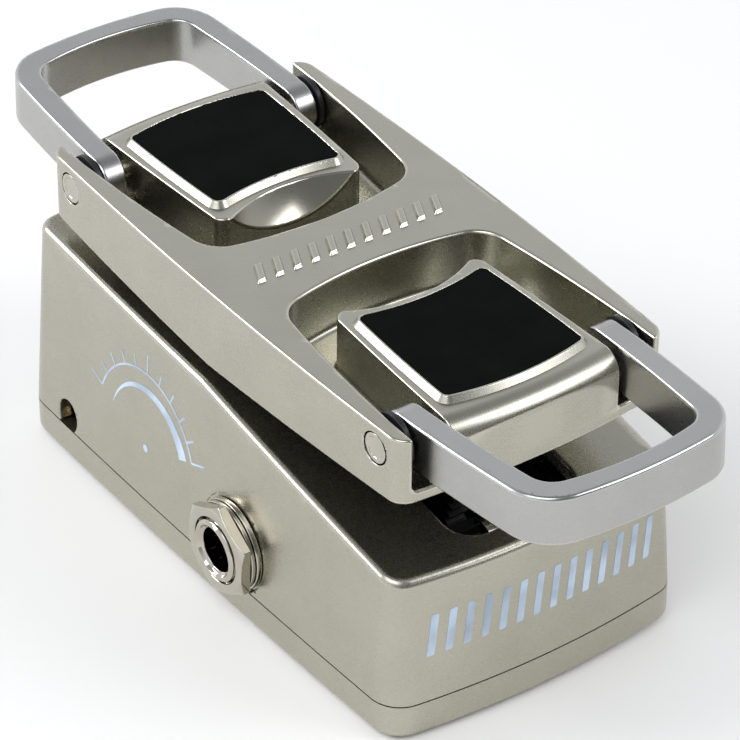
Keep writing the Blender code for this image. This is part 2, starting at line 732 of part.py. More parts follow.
for i, (x, v) in enumerate(FLANGE_SCREWS, start=1):
    hole = rod("flange_hole", "z", (x, v), flange_d - 4, flange_d + 3, 1.15, 14)
    to_treadle(hole)
    cut(sector, hole)
    hole = rod("floor_hole", "z", (x, v), flange_d - 1, flange_d + 2.0, 1.0, 14)
    to_treadle(hole)
    hole.data.transform(Matrix.Translation(-PIVOT))
    hole.location = PIVOT
    cut(treadle, hole)
    profile = [(-3.7, 1.2), (-3.4, 1.8), (-2.55, 1.8), (-2.549, 0.8), (1.7, 0.8)]
    profile = [(flange_d + along, radius) for along, radius in profile]
    screw = turned(f"sector_screw_{i}", "z", (x, v), profile, 16, PARTS, STEEL)
    to_treadle(screw)
    set_origin(screw, PIVOT)
    shade(screw)
shade(treadle)
shade(sector)
set_origin(sector, PIVOT)

pinion_step = 2 * math.pi / PINION_TEETH
pinion_outline = gear_teeth(
    (PINION_Y, PINION_Z),
    PINION_R,
    [mesh_angle + math.pi + k * pinion_step for k in range(PINION_TEETH)],
    pinion_step,
)
pinion = side_prism("pinion", pinion_outline, SECTOR_X[0] - 0.4, SECTOR_X[1] + 0.4, PARTS, BLACK_PLASTIC)
cut(pinion, rod("pinion_bore", "x", (PINION_Y, PINION_Z), -6, 4, 1.5 + RUN, 20))
pot_axis = Vector((0, PINION_Y * MM, PINION_Z * MM))
set_origin(pinion, pot_axis)
shaft = turned(
    "pot_shaft",
    "x",
    (PINION_Y, PINION_Z),
    [(-3.9, 1.2), (-3.6, 1.5), (8.0, 1.5)],
    20,
    PARTS,
    BRIGHT_METAL,
)
cut(shaft, box("shaft_slot", (-5, PINION_Y - 2, PINION_Z - 0.3), (-2.9, PINION_Y + 2, PINION_Z + 0.3)))
shade(shaft)
set_origin(shaft, pot_axis)
pot = rod("potentiometer", "x", (PINION_Y, PINION_Z), 5.0, 12.6, 8.0, 40, PARTS, STEEL)
join(pot, rod("pot_bushing", "x", (PINION_Y, PINION_Z), 1.2, 5.5, 3.3, 24))
join(pot, box("pot_foot", (6.2, PINION_Y - 4.2, 5.5), (10.6, PINION_Y + 4.2, 8.0)))
for i in (-1, 0, 1):
    y = PINION_Y + 2.5 * i
    join(pot, box("pot_leg", (8.1, y - 0.5, 3.0), (8.6, y + 0.5, 6.2)))
cut(pot, rod("pot_bore", "x", (PINION_Y, PINION_Z), 0, 8.4, 1.5 + RUN, 20))
shade(pot)

# ---- axle washers: they give the treadle its drag ----
for name, side in (("axle_washer_left", -1), ("axle_washer_right", 1)):
    low, high = sorted((side * 10.1, side * 11.0))
    ring = rod(name, "x", (0, PIVOT_Z), low, high, 2.9, 24, PARTS, BLACK_PLASTIC)
    cut(ring, rod("washer_bore", "x", (0, PIVOT_Z), low - 1, high + 1, PIVOT_R + RUN, 24))
    shade(ring)

# ---- jack: body, threaded bushing, ring washers and nut ----
jack_low = (-21.3, JACK_Y - 5.8, BOARD_TOP + GAP)
jack_high = (-6.0, JACK_Y + 5.8, JACK_Z + 5.9)
jack = box("jack_body", jack_low, jack_high, PARTS, BLACK_PLASTIC)
cut(jack, rod("bushing_seat", "x", (JACK_Y, JACK_Z), -24, -19.6, JACK_SLEEVE_R + GAP, 32))
cut(jack, rod("jack_bore", "x", (JACK_Y, JACK_Z), -24, -8.0, JACK_BORE_R, 32))
barrel = [(-27.9, JACK_SLEEVE_R - 0.42), (-27.5, JACK_SLEEVE_R)]
for k in range(3):
    x = -27.3 + 0.75 * k
    barrel += [(x, JACK_SLEEVE_R), (x + 0.25, JACK_SLEEVE_R - 0.27), (x + 0.5, JACK_SLEEVE_R)]
barrel += [(-19.9, JACK_SLEEVE_R)]
bushing = turned("jack_bushing", "x", (JACK_Y, JACK_Z), barrel, 32, PARTS, BRIGHT_METAL)
bore = [(-30.0, 4.6), (-27.9, 3.85), (-27.3, JACK_BORE_R), (-18.0, JACK_BORE_R)]
cut(bushing, turned("bushing_bore", "x", (JACK_Y, JACK_Z), bore, 32))
shade(bushing)
cut(jack, box("tip_well", (-19.0, JACK_Y - 1.3, JACK_Z + 2.5), (-8.4, JACK_Y + 1.3, JACK_Z + 4.9)))
cut(jack, box("ring_well", (-19.0, JACK_Y + 2.5, JACK_Z - 1.3), (-8.4, JACK_Y + 4.9, JACK_Z + 1.3)))
cut(jack, box("sleeve_well", (-19.0, JACK_Y - 4.9, JACK_Z - 1.3), (-12.4, JACK_Y - 2.5, JACK_Z + 1.3)))
shade(jack)


def contact(name, start, end, dip_at, way, width=1.0):
    """A sprung strip along the bore; way is the direction from the bore's axis out to the strip."""
    near, far, thick = 4.1, 2.75, 0.35
    line = [(start, near), (dip_at - 1.6, near), (dip_at, far), (dip_at + 1.2, near - 0.3), (end, near - 0.3)]
    outline = line + [(x, r + thick) for x, r in reversed(line)]
    rings = []
    for side in (-width, width):
        ring = []
        for x, r in outline:
            if way[0]:
                ring.append((x, JACK_Y + way[0] * r, JACK_Z + side))
            else:
                ring.append((x, JACK_Y + side, JACK_Z + r))
        rings.append(ring)
    return loft(name, rings, PARTS, BRONZE)


contact("tip_contact", -18.6, -8.8, -10.8, (0, 1))
contact("ring_contact", -18.6, -8.8, -15.2, (1, 0))
contact("sleeve_contact", -18.6, -12.8, -15.8, (-1, 0))

for name, low, high, outer in (
    ("jack_washer_inner", JACK_SEAT_X - 0.9, JACK_SEAT_X - 0.1, 6.7),
    ("jack_washer_outer", JACK_SEAT_X - 1.6, JACK_SEAT_X - 1.0, 6.5),
):
    profile = [(low, outer - 0.25), (low + 0.25, outer), (high, outer)]
    ring = turned(name, "x", (JACK_Y, JACK_Z), profile, 40, PARTS, BRIGHT_METAL)
    cut(ring, rod("washer_bore", "x", (JACK_Y, JACK_Z), low - 1, high + 1, JACK_HOLE_R, 28))
    shade(ring)
nut_low = -27.5
nut_high = JACK_SEAT_X - 1.7
nut_turn = math.radians(JACK_NUT_TURN)
centre = (JACK_Y, JACK_Z)
nut = rod("jack_nut", "x", centre, nut_low, nut_high, JACK_NUT_R, 6, PARTS, BRIGHT_METAL, nut_turn)
crown = [(nut_low - 0.01, 6.4), (nut_low + 0.4, JACK_NUT_R + 0.05), (nut_high + 1, JACK_NUT_R + 0.05)]
keep_inside(nut, turned("nut_crown", "x", centre, crown, 40))
cut(nut, rod("nut_bore", "x", centre, nut_low - 1, nut_high + 1, JACK_HOLE_R, 28))
shade(nut)

# ---- circuit board ----
board_outline = [
    (-21.0, 36.8),
    (-21.0, -34.6),
    (-14.4, -34.6),
    (-14.4, -41.0),
    (14.4, -41.0),
    (14.4, -34.6),
    (21.0, -34.6),
    (21.0, 2.0),
    (-10.0, 2.0),
    (-10.0, 36.8),
]
board = prism("circuit_board", board_outline, BOARD_BOTTOM, BOARD_TOP, PARTS, BOARD_GREEN)
for x, y in BOARD_SPOTS:
    cut(board, rod("board_hole", "z", (x, y), 0, 9, 1.1, 16))
for i in (-1, 0, 1):
    cut(board, rod("leg_hole", "z", (8.35, PINION_Y + 2.5 * i), 0, 9, 0.85, 12))
for i, (x, y) in enumerate(BOARD_SPOTS, start=1):
    low = BOARD_BOTTOM - GAP
    profile = [(low - 0.95, 1.2), (low - 0.6, 1.75), (low, 1.75), (low + 0.001, 0.7), (9.5, 0.7)]
    screw = turned(f"board_screw_{i}", "z", (x, y), profile, 16, PARTS, STEEL)
    cut(screw, rod("recess", "z", (x, y), 2.0, 2.75, 0.6, 6))
    shade(screw)

# ---- trimmer behind the side hole ----
trimmer = box(
    "trimmer_body",
    (-21.4, SCREW_HOLE_Y - 3.2, BOARD_TOP + GAP - 0.1),
    (-16.6, SCREW_HOLE_Y + 2.8, SCREW_HOLE_Z + 3.6),
    PARTS,
    BLACK_PLASTIC,
)
cut(trimmer, rod("rotor_seat", "x", (SCREW_HOLE_Y, SCREW_HOLE_Z), -24, -18.4, 1.55 + RUN, 24))
rotor = turned(
    "trimmer_rotor",
    "x",
    (SCREW_HOLE_Y, SCREW_HOLE_Z),
    [(-21.9, 1.35), (-21.7, 1.55), (-18.7, 1.55)],
    24,
    PARTS,
    BRONZE,
)
slot_turn = Matrix.Rotation(math.radians(35), 4, "X")
slot = box("rotor_slot", (-23, -2.2, -0.3), (-21.2, 2.2, 0.3))
slot.data.transform(slot_turn)
slot.data.transform(Matrix.Translation((0, SCREW_HOLE_Y * MM, SCREW_HOLE_Z * MM)))
cut(rotor, slot)
shade(rotor)
set_origin(rotor, Vector((0, SCREW_HOLE_Y * MM, SCREW_HOLE_Z * MM)))

# ---- the mat's underside is the ground ----
for obj in PARTS.objects:
    obj.location.z += MAT_PROUD * MM
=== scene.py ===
"""The looks of the small rocker volume pedal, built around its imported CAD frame.

Sizes are in millimetres unless a name says otherwise. Cast and machined pieces are written as
distance fields, so that every edge gets its own rounding, and are turned into meshes at the end.
"""

import json
import math

import bmesh
import bpy
import numpy as np
import openvdb
from mathutils import Matrix, Vector


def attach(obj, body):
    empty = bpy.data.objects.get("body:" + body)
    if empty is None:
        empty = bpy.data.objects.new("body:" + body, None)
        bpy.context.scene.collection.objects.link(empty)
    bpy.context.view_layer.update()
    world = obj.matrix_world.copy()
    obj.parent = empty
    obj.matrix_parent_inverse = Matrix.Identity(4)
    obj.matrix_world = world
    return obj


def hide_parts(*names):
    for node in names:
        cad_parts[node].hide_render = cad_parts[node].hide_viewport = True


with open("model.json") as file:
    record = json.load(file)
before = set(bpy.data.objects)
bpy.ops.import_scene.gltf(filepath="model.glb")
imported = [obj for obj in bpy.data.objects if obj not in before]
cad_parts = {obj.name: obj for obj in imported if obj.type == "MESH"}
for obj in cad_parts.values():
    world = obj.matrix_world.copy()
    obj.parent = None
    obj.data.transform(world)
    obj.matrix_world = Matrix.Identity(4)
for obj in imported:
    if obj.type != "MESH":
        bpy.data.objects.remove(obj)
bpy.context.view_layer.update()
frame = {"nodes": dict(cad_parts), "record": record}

MM = 0.001
LIFT = 0.5  # the rubber mat stands this proud of the metal

# ---- driving dimensions, as in the CAD model except for the seam, which is drawn closer ----
BASE_HALF_WIDTH = 24.95
BASE_HALF_LENGTH = 46.77
BASE_SIDE_BOW = 0.72
BASE_END_BOW = 2.07
BASE_CORNER = 4.9
BASE_DRAFT = 0.0666
BASE_EDGE = 1.1  # radius of the housing's upper edge
COVER_EDGE = 1.3  # radius of the cover's lower edge
SEAM_Z = 5.5
SEAM_GAP = 0.2
RIDGE_Z = 32.55
FAR_SLOPE = 0.0585
NEAR_SLOPE = 0.1734
WALL = 2.2
COVER_FLOOR = 2.0
OPENING_HALF_WIDTH = 10.3
OPENING_NEAR_Y = -41.4
OPENING_FAR_Y = 7.5
PIVOT_Z = 27.0
AXLE_BORE_R = 2.08
TREADLE_TILT = math.radians(1.11)
TREADLE_Y = -1.58
TREADLE_Z = 47.35
TREADLE_HALF_WIDTH = 22.42
TREADLE_HALF_LENGTH = 42.43
TREADLE_SIDE_BOW = 1.08
TREADLE_END_BOW = 1.15
TREADLE_CORNER = 2.7
TREADLE_DEPTH = 12.56
TREADLE_RISE = 0.0545
TREADLE_APEX_V = 0.8
POCKET_DEPTH = 8.3
BLOCK_OUT_V = 42.2
PIN_V = 36.1
PIN_D = -3.6
PIN_HEAD_R = 2.15
PIN_R = 1.9
HINGE_BORE_R = 1.98
HANDLE_HEIGHT = 7.3
HANDLE_BAR = 3.5
HANDLE_LENGTH = 28.3
HANDLE_TILT = {-1: math.radians(3.3), 1: math.radians(2.0)}
JACK_Y = -8.9
JACK_Z = 11.3
JACK_SEAT_X = -24.15
JACK_SEAT_R = 7.1
JACK_BORE_R = 4.85
HOLE_Y = 33.8
HOLE_Z = 7.4
HOLE_R = 2.45
DRILL_END_X = -15.0  # the holes in the left wall end well inside it
HEEL_STOP = (15.8, 30.0)  # the rubber stops' places, to the right of the middle
TOE_STOP = (13.4, -20.0)
STOP_R = 1.6
STOP_DEPTH = 0.7

LIFTED = Matrix.Translation((0, 0, LIFT * MM))
TREADLE = (
    Matrix.Translation((0, TREADLE_Y * MM, (TREADLE_Z + LIFT) * MM))
    @ Matrix.Rotation(TREADLE_TILT, 4, "X")
)
BODY_OF = {n: b for b, members in frame["record"]["behaviour"]["bodies"].items() for n in members}
SLOT_OF = {s["node"]: s["material_slot"] for s in frame["record"]["subparts"]}


# ---- distance fields: a value is below 0 inside and above 0 outside ----
def both(a, b, round_r=0.0, cosine=0.0):
    """Inside a and b, with their common edge rounded. cosine is between the two surfaces' normals."""
    hard = np.maximum(a, b)
    if round_r <= 0:
        return hard
    u = a + round_r
    v = b + round_r
    reach = np.sqrt(np.maximum((u * u + v * v - 2 * cosine * u * v) / (1 - cosine**2), 0)) - round_r
    return np.where((u > cosine * v) & (v > cosine * u), reach, hard)


def either(a, b, round_r=0.0):
    """Inside a or b, with a fillet between them."""
    return -both(-a, -b, round_r)


def without(a, b, round_r=0.0):
    """Inside a and outside b, with the new edge rounded."""
    return both(a, -b, round_r)


class Arc:
    """A shallow curve from p to q, solid on its left, bowed outwards or, if bow is negative, inwards."""

    def __init__(self, p, q, bow):
        p = np.array(p, float)
        way = np.array(q, float) - p
        span = np.linalg.norm(way)
        self.out = np.array([way[1], -way[0]]) / span
        self.middle = p + way / 2
        self.flat = abs(bow) < 1e-6
        if not self.flat:
            self.radius = (span**2 / 4 + bow**2) / (2 * abs(bow))
            self.sign = math.copysign(1, bow)
            self.centre = self.middle + self.out * (bow - self.sign * self.radius)

    def distance(self, x, y):
        """How far a place is off the curve, below 0 on the solid's side."""
        if self.flat:
            return (x - self.middle[0]) * self.out[0] + (y - self.middle[1]) * self.out[1]
        return self.sign * (np.hypot(x - self.centre[0], y - self.centre[1]) - self.radius)

    def normal(self, point):
        """The way off the curve at a point of it."""
        if self.flat:
            return self.out
        way = np.array(point, float) - self.centre
        return self.sign * way / np.linalg.norm(way)


def corner(first, second, x, y, point, round_r):
    """Two curves that meet at a point, with that corner rounded."""
    cosine = float(first.normal(point) @ second.normal(point))
    return both(first.distance(x, y), second.distance(x, y), round_r, cosine)


def bowed_plate(x, y, half_w, half_l, side_bow, end_bow, corner_r):
    """Distance to a rectangle with four bowed sides."""
    at = (half_w - side_bow, half_l - end_bow)
    side = Arc((at[0], -at[1]), at, side_bow)
    end = Arc(at, (-at[0], at[1]), end_bow)
    return corner(side, end, np.abs(x), np.abs(y), at, corner_r)


def panel(x, v, near, far, side_bow, near_bow, near_r, far_bow=None, far_r=0.0):
    """Distance to a panel from near to far, each (half width, v); it is open at far without far_bow."""
    x = np.abs(x)
    side = Arc(near, far, side_bow)
    near_end = Arc((-near[0], near[1]), near, near_bow)
    found = corner(side, near_end, x, v, near, near_r)
    if far_bow is None:
        return found
    far_end = Arc(far, (-far[0], far[1]), far_bow)
    return both(found, far_end.distance(x, v), far_r, float(side.normal(far) @ far_end.normal(far)))


def slab(value, low, high):
    """Distance to the space between two parallel planes."""
    return np.maximum(low - value, value - high)


def hole_x(y, z, at_y, at_z, radius):
    """Distance to an endless round bar along X."""
    return np.hypot(y - at_y, z - at_z) - radius


# ---- from a field to a mesh ----
def field_gradient(shape, points, step=0.02):
    """The field's value and its slope at some points."""
    x, y, z = points.T
    slope = np.empty_like(points)
    for axis in range(3):
        shift = [0.0, 0.0, 0.0]
        shift[axis] = step
        ahead = shape(x + shift[0], y + shift[1], z + shift[2])
        behind = shape(x - shift[0], y - shift[1], z - shift[2])
        slope[:, axis] = (ahead - behind) / (2 * step)
    return shape(x, y, z), slope


def edge_wear_and_highlight(shape, points, step=0.16, least_bend=0.6, bend_range=1.6):
    """0 on flat and hollow places, up to 1 on tight outer edges, where a finish is rubbed bright and
    also gets a painted highlight.
    """
    x, y, z = points.T
    bend = -6 * shape(x, y, z)
    for shift in (-step, step):
        bend = bend + shape(x + shift, y, z) + shape(x, y + shift, z) + shape(x, y, z + shift)
    return np.clip((bend / step**2 - least_bend) / bend_range, 0, 1)


def settle_on_crease(points, crease, cell):
    """Draws the points near a sharp edge onto it; crease gives the distances to its two faces."""
    near = np.all(np.abs(crease(*points.T)) < 0.8 * cell, axis=0)
    chosen = points[near]
    for _ in range(3):
        values = crease(*chosen.T)
        slopes = np.stack(
            [field_gradient(lambda x, y, z, k=k: crease(x, y, z)[k], chosen)[1] for k in (0, 1)]
        )
        (aa, ab), (_, bb) = np.einsum("ipc,jpc->ijp", slopes, slopes)
        first = (bb * values[0] - ab * values[1]) / (aa * bb - ab * ab)
        second = (aa * values[1] - ab * values[0]) / (aa * bb - ab * ab)
        chosen -= slopes[0] * first[:, None] + slopes[1] * second[:, None]
    points[near] = chosen
    return near, slopes[0]


def cast(shape, low, high, cell, adaptivity=0.0, crease=None, worn_and_lit=None):
    """Meshes a field inside a box and settles each point on the true surface, with its normal."""
    low = np.array(low, float)
    counts = np.ceil((np.array(high, float) - low) / cell).astype(int) + 1
    lines = [(start + cell * np.arange(count)).astype(np.float32) for start, count in zip(low, counts)]
    x, y, z = np.meshgrid(*lines, indexing="ij", sparse=True)
    values = np.broadcast_to(shape(x, y, z), counts) / cell
    grid = openvdb.FloatGrid(3.0)
    grid.copyFromArray(np.ascontiguousarray(np.clip(values, -3, 3), np.float32))
    grid.gridClass = openvdb.GridClass.LEVEL_SET
    points, triangles, quads = grid.convertToPolygons(0.0, adaptivity)
    points = low + cell * points.astype(float)
    for _ in range(4):
        value, slope = field_gradient(shape, points)
        square = np.maximum((slope**2).sum(axis=1), 0.05)
        move = np.clip(value / square, -0.7 * cell, 0.7 * cell)
        points -= slope * move[:, None]
    _, slope = field_gradient(shape, points)
    normals = slope / np.maximum(np.linalg.norm(slope, axis=1), 1e-6)[:, None]
    faces = [tuple(f) for f in quads.tolist()] + [tuple(f) for f in triangles.tolist()]
    sharp = np.zeros(len(points), bool)
    if crease:
        sharp, wall = settle_on_crease(points, crease, cell)
        normals[sharp] = wall / np.linalg.norm(wall, axis=1)[:, None]
    # the fourth value weighs outer edges, which the metal materials lighten partly as rubbed metal and
    # partly as a painted highlight
    return points, normals, faces, edge_wear_and_highlight(worn_and_lit or shape, points), sharp


def turn_out(points, normals, faces):
    """Faces in the order that makes them look outwards."""
    tests = faces[:: max(1, len(faces) // 400)]
    votes = 0.0
    for face in tests:
        a, b, c = points[face[0]], points[face[1]], points[face[2]]
        votes += np.sign(np.cross(b - a, c - a) @ normals[face[0]])
    return faces if votes > 0 else [face[::-1] for face in faces]


def corner_normals(mesh, normals, sharp):
    """A normal for each face corner: the point's own, or the face's where it turns off a sharp edge."""
    spots = np.empty(len(mesh.loops), np.int32)
    mesh.loops.foreach_get("vertex_index", spots)
    counts = np.empty(len(mesh.polygons), np.int32)
    mesh.polygons.foreach_get("loop_total", counts)
    flat = np.empty(3 * len(mesh.polygons), np.float32)
    mesh.polygons.foreach_get("normal", flat)
    flat = np.repeat(flat.reshape(-1, 3), counts, axis=0)
    found = normals[spots]
    turned = sharp[spots] & ((found * flat).sum(axis=1) < 0.7)
    found[turned] = flat[turned]
    return found


def piece_from(name, made, matrix, sheen=None):
    """An object from what cast() made, placed by a matrix; sheen says where it is polished."""
    points, normals, faces, wear_and_highlight, sharp = made
    faces = turn_out(points, normals, faces)
    gloss = sheen(*points.T) if sheen else np.zeros(len(points))
    place = np.array(matrix)
    points = points * MM @ place[:3, :3].T + place[:3, 3]
    normals = normals @ place[:3, :3].T
    mesh = bpy.data.meshes.new(name)
    mesh.from_pydata(points.tolist(), [], faces)
    mesh.validate()
    mesh.shade_smooth()
    mesh.normals_split_custom_set(corner_normals(mesh, normals, sharp).tolist())
    # edge weights: rubbed edges, which the metal materials lighten partly as wear and partly as a
    # painted highlight
    mesh.attributes.new("edge_wear_and_highlight", "FLOAT", "POINT").data.foreach_set("value", wear_and_highlight.astype(np.float32))
    mesh.attributes.new("sheen", "FLOAT", "POINT").data.foreach_set("value", gloss.astype(np.float32))
    obj = bpy.data.objects.new(name, mesh)
    bpy.context.scene.collection.objects.link(obj)
    return obj


def dress(obj, mat, *nodes):
    """Gives a piece its material and lets it stand for CAD nodes on their body."""
    obj.data.materials.clear()
    obj.data.materials.append(mat)
    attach(obj, BODY_OF[nodes[0]])
    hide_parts(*nodes)


# ---- treadle: x across, v along its length, d up from its top plane ----
FLANGE_D = -0.15  # the flat top of a block
LIP_TOP = 0.68  # height of the raised frame round a pad, and then how far out from the pad it reaches
LIP_FOOT = 1.02
LIP_EDGE = 0.38
PAD_TOP = 0.62
PAD_MIDDLE_W = 26.5
PLATE_EDGE = 0.34
UNDER_EDGE = 0.6
BLOCK_SHOULDER = 3.2
SCOOP_R = 23.2  # the ball that hollows out a finger scoop, and its centre
SCOOP_W = -5.35
SCOOP_D = 9.28
PIVOT_V = -TREADLE_Y * math.cos(TREADLE_TILT) + (PIVOT_Z - TREADLE_Z) * math.sin(TREADLE_TILT)
PIVOT_D = TREADLE_Y * math.sin(TREADLE_TILT) + (PIVOT_Z - TREADLE_Z) * math.cos(TREADLE_TILT)


def pad_outline(x, w):
    """Distance to a rubber pad's edge; w is the way out from the middle of the treadle."""
    near = (10.15, 16.35)
    far = (11.0, 36.7)
    return panel(x, w, near, far, side_bow=0.2, near_bow=-1.35, near_r=0.9, far_bow=1.4, far_r=0.9)


def scoop_bowl(x, w, d):
    """Distance to the ball that hollows out a finger scoop."""
    return np.sqrt(x * x + (w - SCOOP_W) ** 2 + (d - SCOOP_D) ** 2) - SCOOP_R


def scoop_sheen(x, v, d):
    """1 in the two polished finger scoops, 0 elsewhere, with no scoop nearer the middle than block_w."""
    w = np.abs(v)
    block_w = 12.5
    skin = 0.1
    return np.where(w > block_w, np.clip(1.6 - np.abs(scoop_bowl(x, w, d)) / skin, 0, 1), 0)


def block_shape(x, w, d):
    """One block: upright walls, a flat top with a rounded outer shoulder, and a finger scoop inboard."""
    walls = panel(x, w, (11.9, 13.1), (13.75, 52.0), side_bow=0.25, near_bow=0.0, near_r=1.8)
    end = w - BLOCK_OUT_V - 0.7 + 0.0055 * x * x
    top = both(d - FLANGE_D, end, BLOCK_SHOULDER)
    return without(both(walls, top, 0.3), scoop_bowl(x, w, d), 0.22)


def treadle_shape(x, v, d):
    """The cast plate with its two pockets, the block in each of them and the seats of the pin heads."""
    plate = bowed_plate(
        x, v, TREADLE_HALF_WIDTH, TREADLE_HALF_LENGTH, TREADLE_SIDE_BOW, TREADLE_END_BOW, TREADLE_CORNER
    )
    under = -TREADLE_DEPTH + TREADLE_RISE * np.abs(v - TREADLE_APEX_V) - d
    solid = both(both(plate, d, PLATE_EDGE), under, UNDER_EDGE)
    for w in (-v, v):
        pocket = panel(x, w, (16.6, 8.5), (19.28, 48.0), side_bow=0.85, near_bow=2.4, near_r=5.2)
        solid = without(solid, both(pocket, -POCKET_DEPTH - d, 0.9), 0.5)
    for w in (-v, v):
        block = both(both(block_shape(x, w, d), plate - 0.3, 0.3), under, UNDER_EDGE)
        solid = either(solid, block, 0.5)
        head_seat = np.maximum(np.hypot(w - PIN_V, d - PIN_D) - PIN_HEAD_R - 0.2, 18.0 - np.abs(x))
        solid = without(solid, head_seat, 0.12)
    return solid


def lug_shape(x, v, d):
    """The two pivot lugs that reach down from the treadle to the axle."""
    along = v - PIVOT_V
    up = d - PIVOT_D
    foot_r = 4.2
    profile = np.where(up > 0, np.abs(along) - foot_r - 0.18 * up, np.hypot(along, up) - foot_r)
    lugs = both(both(profile, slab(np.abs(x), 6.3, 9.8), 0.4), up - 9.5)
    return without(lugs, np.hypot(along, up) - AXLE_BORE_R, 0.2)


def rim_shape(x, w, d):
    """The raised frame round a pad: a steep outer slope, a narrow flat top and a wall at the pad."""
    off_pad = pad_outline(x, w)
    rise = LIP_TOP - FLANGE_D
    run = LIP_FOOT - LIP_EDGE
    length = math.hypot(rise, run)
    slope = ((off_pad - LIP_FOOT) * rise + (d - FLANGE_D) * run) / length
    frame_top = both(slope, d - LIP_TOP, 0.1, run / length)
    ring = without(frame_top, off_pad - 0.1, 0.07)
    return both(ring, FLANGE_D - 0.3 - d)


def pad_shape(x, w, d):
    """A slightly crowned pad, let into its frame."""
    crown = PAD_TOP - 0.0003 * (x * x + 0.6 * (w - PAD_MIDDLE_W) ** 2)
    return both(both(pad_outline(x, w) - 0.14, d - crown, 0.1), FLANGE_D - 0.05 - d)


RIB_PITCH = 2.9
RIB_COUNT = 11
RIB_V = -0.2  # the middle of the row
RIB_SIDE = 0.7  # how far a bar's side leans in as it rises


def rib_shape(x, v, d):
    """A row of slanted raised bars on the strip between the pockets."""
    along = v - RIB_V
    slanted = x - 0.45 * along
    off = np.abs((slanted + RIB_PITCH / 2) % RIB_PITCH - RIB_PITCH / 2) - 0.78
    bars = both(both(off, np.abs(along) - 1.9, 0.3), np.abs(slanted) - RIB_COUNT / 2 * RIB_PITCH)
    sloped = (bars + RIB_SIDE * d) / math.hypot(1, RIB_SIDE)
    return both(both(sloped, d - 0.48, 0.1, 0.57), -0.25 - d)


# ---- loops: x across, s out from the hinge, z up through the bar ----
def loop_outline(x, s, inset, length, corner_r):
    """Distance to a U that narrows towards its bowed outer end."""
    tip = (15.95 - inset, length - 1.6)
    side = Arc((17.85 - inset, -14.0), tip, 0.7)
    end = Arc(tip, (-tip[0], tip[1]), 1.7)
    return corner(side, end, np.abs(x), s, tip, corner_r)


def loop_shape(x, s, z):
    """A loop bar with round ends about its hinge."""
    half = HANDLE_HEIGHT / 2
    outer = loop_outline(x, s, 0.0, HANDLE_LENGTH, 7.8)
    inner = loop_outline(x, s, HANDLE_BAR, HANDLE_LENGTH - 3.3, 3.88)
    faces = np.where(s > 0, np.abs(z), np.hypot(s, z)) - half
    solid = without(both(outer, faces, 0.52), inner, 0.36)
    return without(solid, np.hypot(s, z) - HINGE_BORE_R, 0.15)


# ---- base ----
def base_outline(x, y):
    """Distance to the outline that the housing and the cover share at the seam."""
    return bowed_plate(x, y, BASE_HALF_WIDTH, BASE_HALF_LENGTH, BASE_SIDE_BOW, BASE_END_BOW, BASE_CORNER)


def base_side(x, y, z):
    """The housing's drafted walls."""
    return base_outline(x, y) + BASE_DRAFT * (z - SEAM_Z)


def base_top(y, z):
    """The housing's two top planes, which meet in a ridge above the axle."""
    return both(z - RIDGE_Z - FAR_SLOPE * y, z - RIDGE_Z - NEAR_SLOPE * y, 0.3, 0.993)


def base_shape(x, y, z):
    """The housing: a hollow shell with axle lugs, the rocker opening and the holes in its left wall."""
    side = base_side(x, y, z)
    top = base_top(y, z)
    solid = both(both(side, top, BASE_EDGE, BASE_DRAFT), SEAM_Z + SEAM_GAP / 2 - z)
    solid = without(solid, both(side + WALL, top + WALL + 0.2, 1.0))
    lug = both(slab(np.abs(x), 11.3, 15.3), np.abs(y) - 4.4)
    lug = both(lug, PIVOT_Z - 4.6 - z, 1.5)
    solid = either(solid, both(lug, top + 1.0), 0.3)
    middle_y = (OPENING_NEAR_Y + OPENING_FAR_Y) / 2
    reach = (OPENING_FAR_Y - OPENING_NEAR_Y) / 2
    hole = both(np.abs(x) - OPENING_HALF_WIDTH, np.abs(y - middle_y) - reach, 4.2)
    solid = without(solid, both(hole, 18.0 - z), 0.45)
    solid = without(solid, both(hole_x(y, z, 0, PIVOT_Z, AXLE_BORE_R), np.abs(x) - 20))
    seat = both(hole_x(y, z, JACK_Y, JACK_Z, JACK_SEAT_R), x - JACK_SEAT_X)
    solid = without(solid, seat, 0.15)
    solid = without(solid, both(hole_x(y, z, JACK_Y, JACK_Z, JACK_BORE_R), x - DRILL_END_X))
    solid = without(solid, both(hole_x(y, z, HOLE_Y, HOLE_Z, HOLE_R), x - DRILL_END_X), 0.3)
    for at_x, at_y in (HEEL_STOP, TOE_STOP):
        bore = np.hypot(np.abs(x) - at_x, y - at_y) - 1.9
        solid = without(solid, both(bore, -top - 1.0), 0.15)
    return solid


def base_skin(x, y, z):
    """The base's outside without the seam, where its edges are rubbed and also get a painted highlight.
    """
    return both(base_side(x, y, z), base_top(y, z), BASE_EDGE, BASE_DRAFT)


def base_seam(x, y, z):
    """The two surfaces that meet at the housing's lower edge."""
    return np.stack([base_side(x, y, z), SEAM_Z + SEAM_GAP / 2 - z])


def cover_skin(x, y, z):
    """The cover's outside without the seam, where its edges are rubbed and also get a painted highlight.
    """
    return both(base_outline(x, y), -z, COVER_EDGE)


def cover_seam(x, y, z):
    """The two surfaces that meet at the cover's upper edge."""
    return np.stack([base_outline(x, y), z - SEAM_Z + SEAM_GAP / 2])


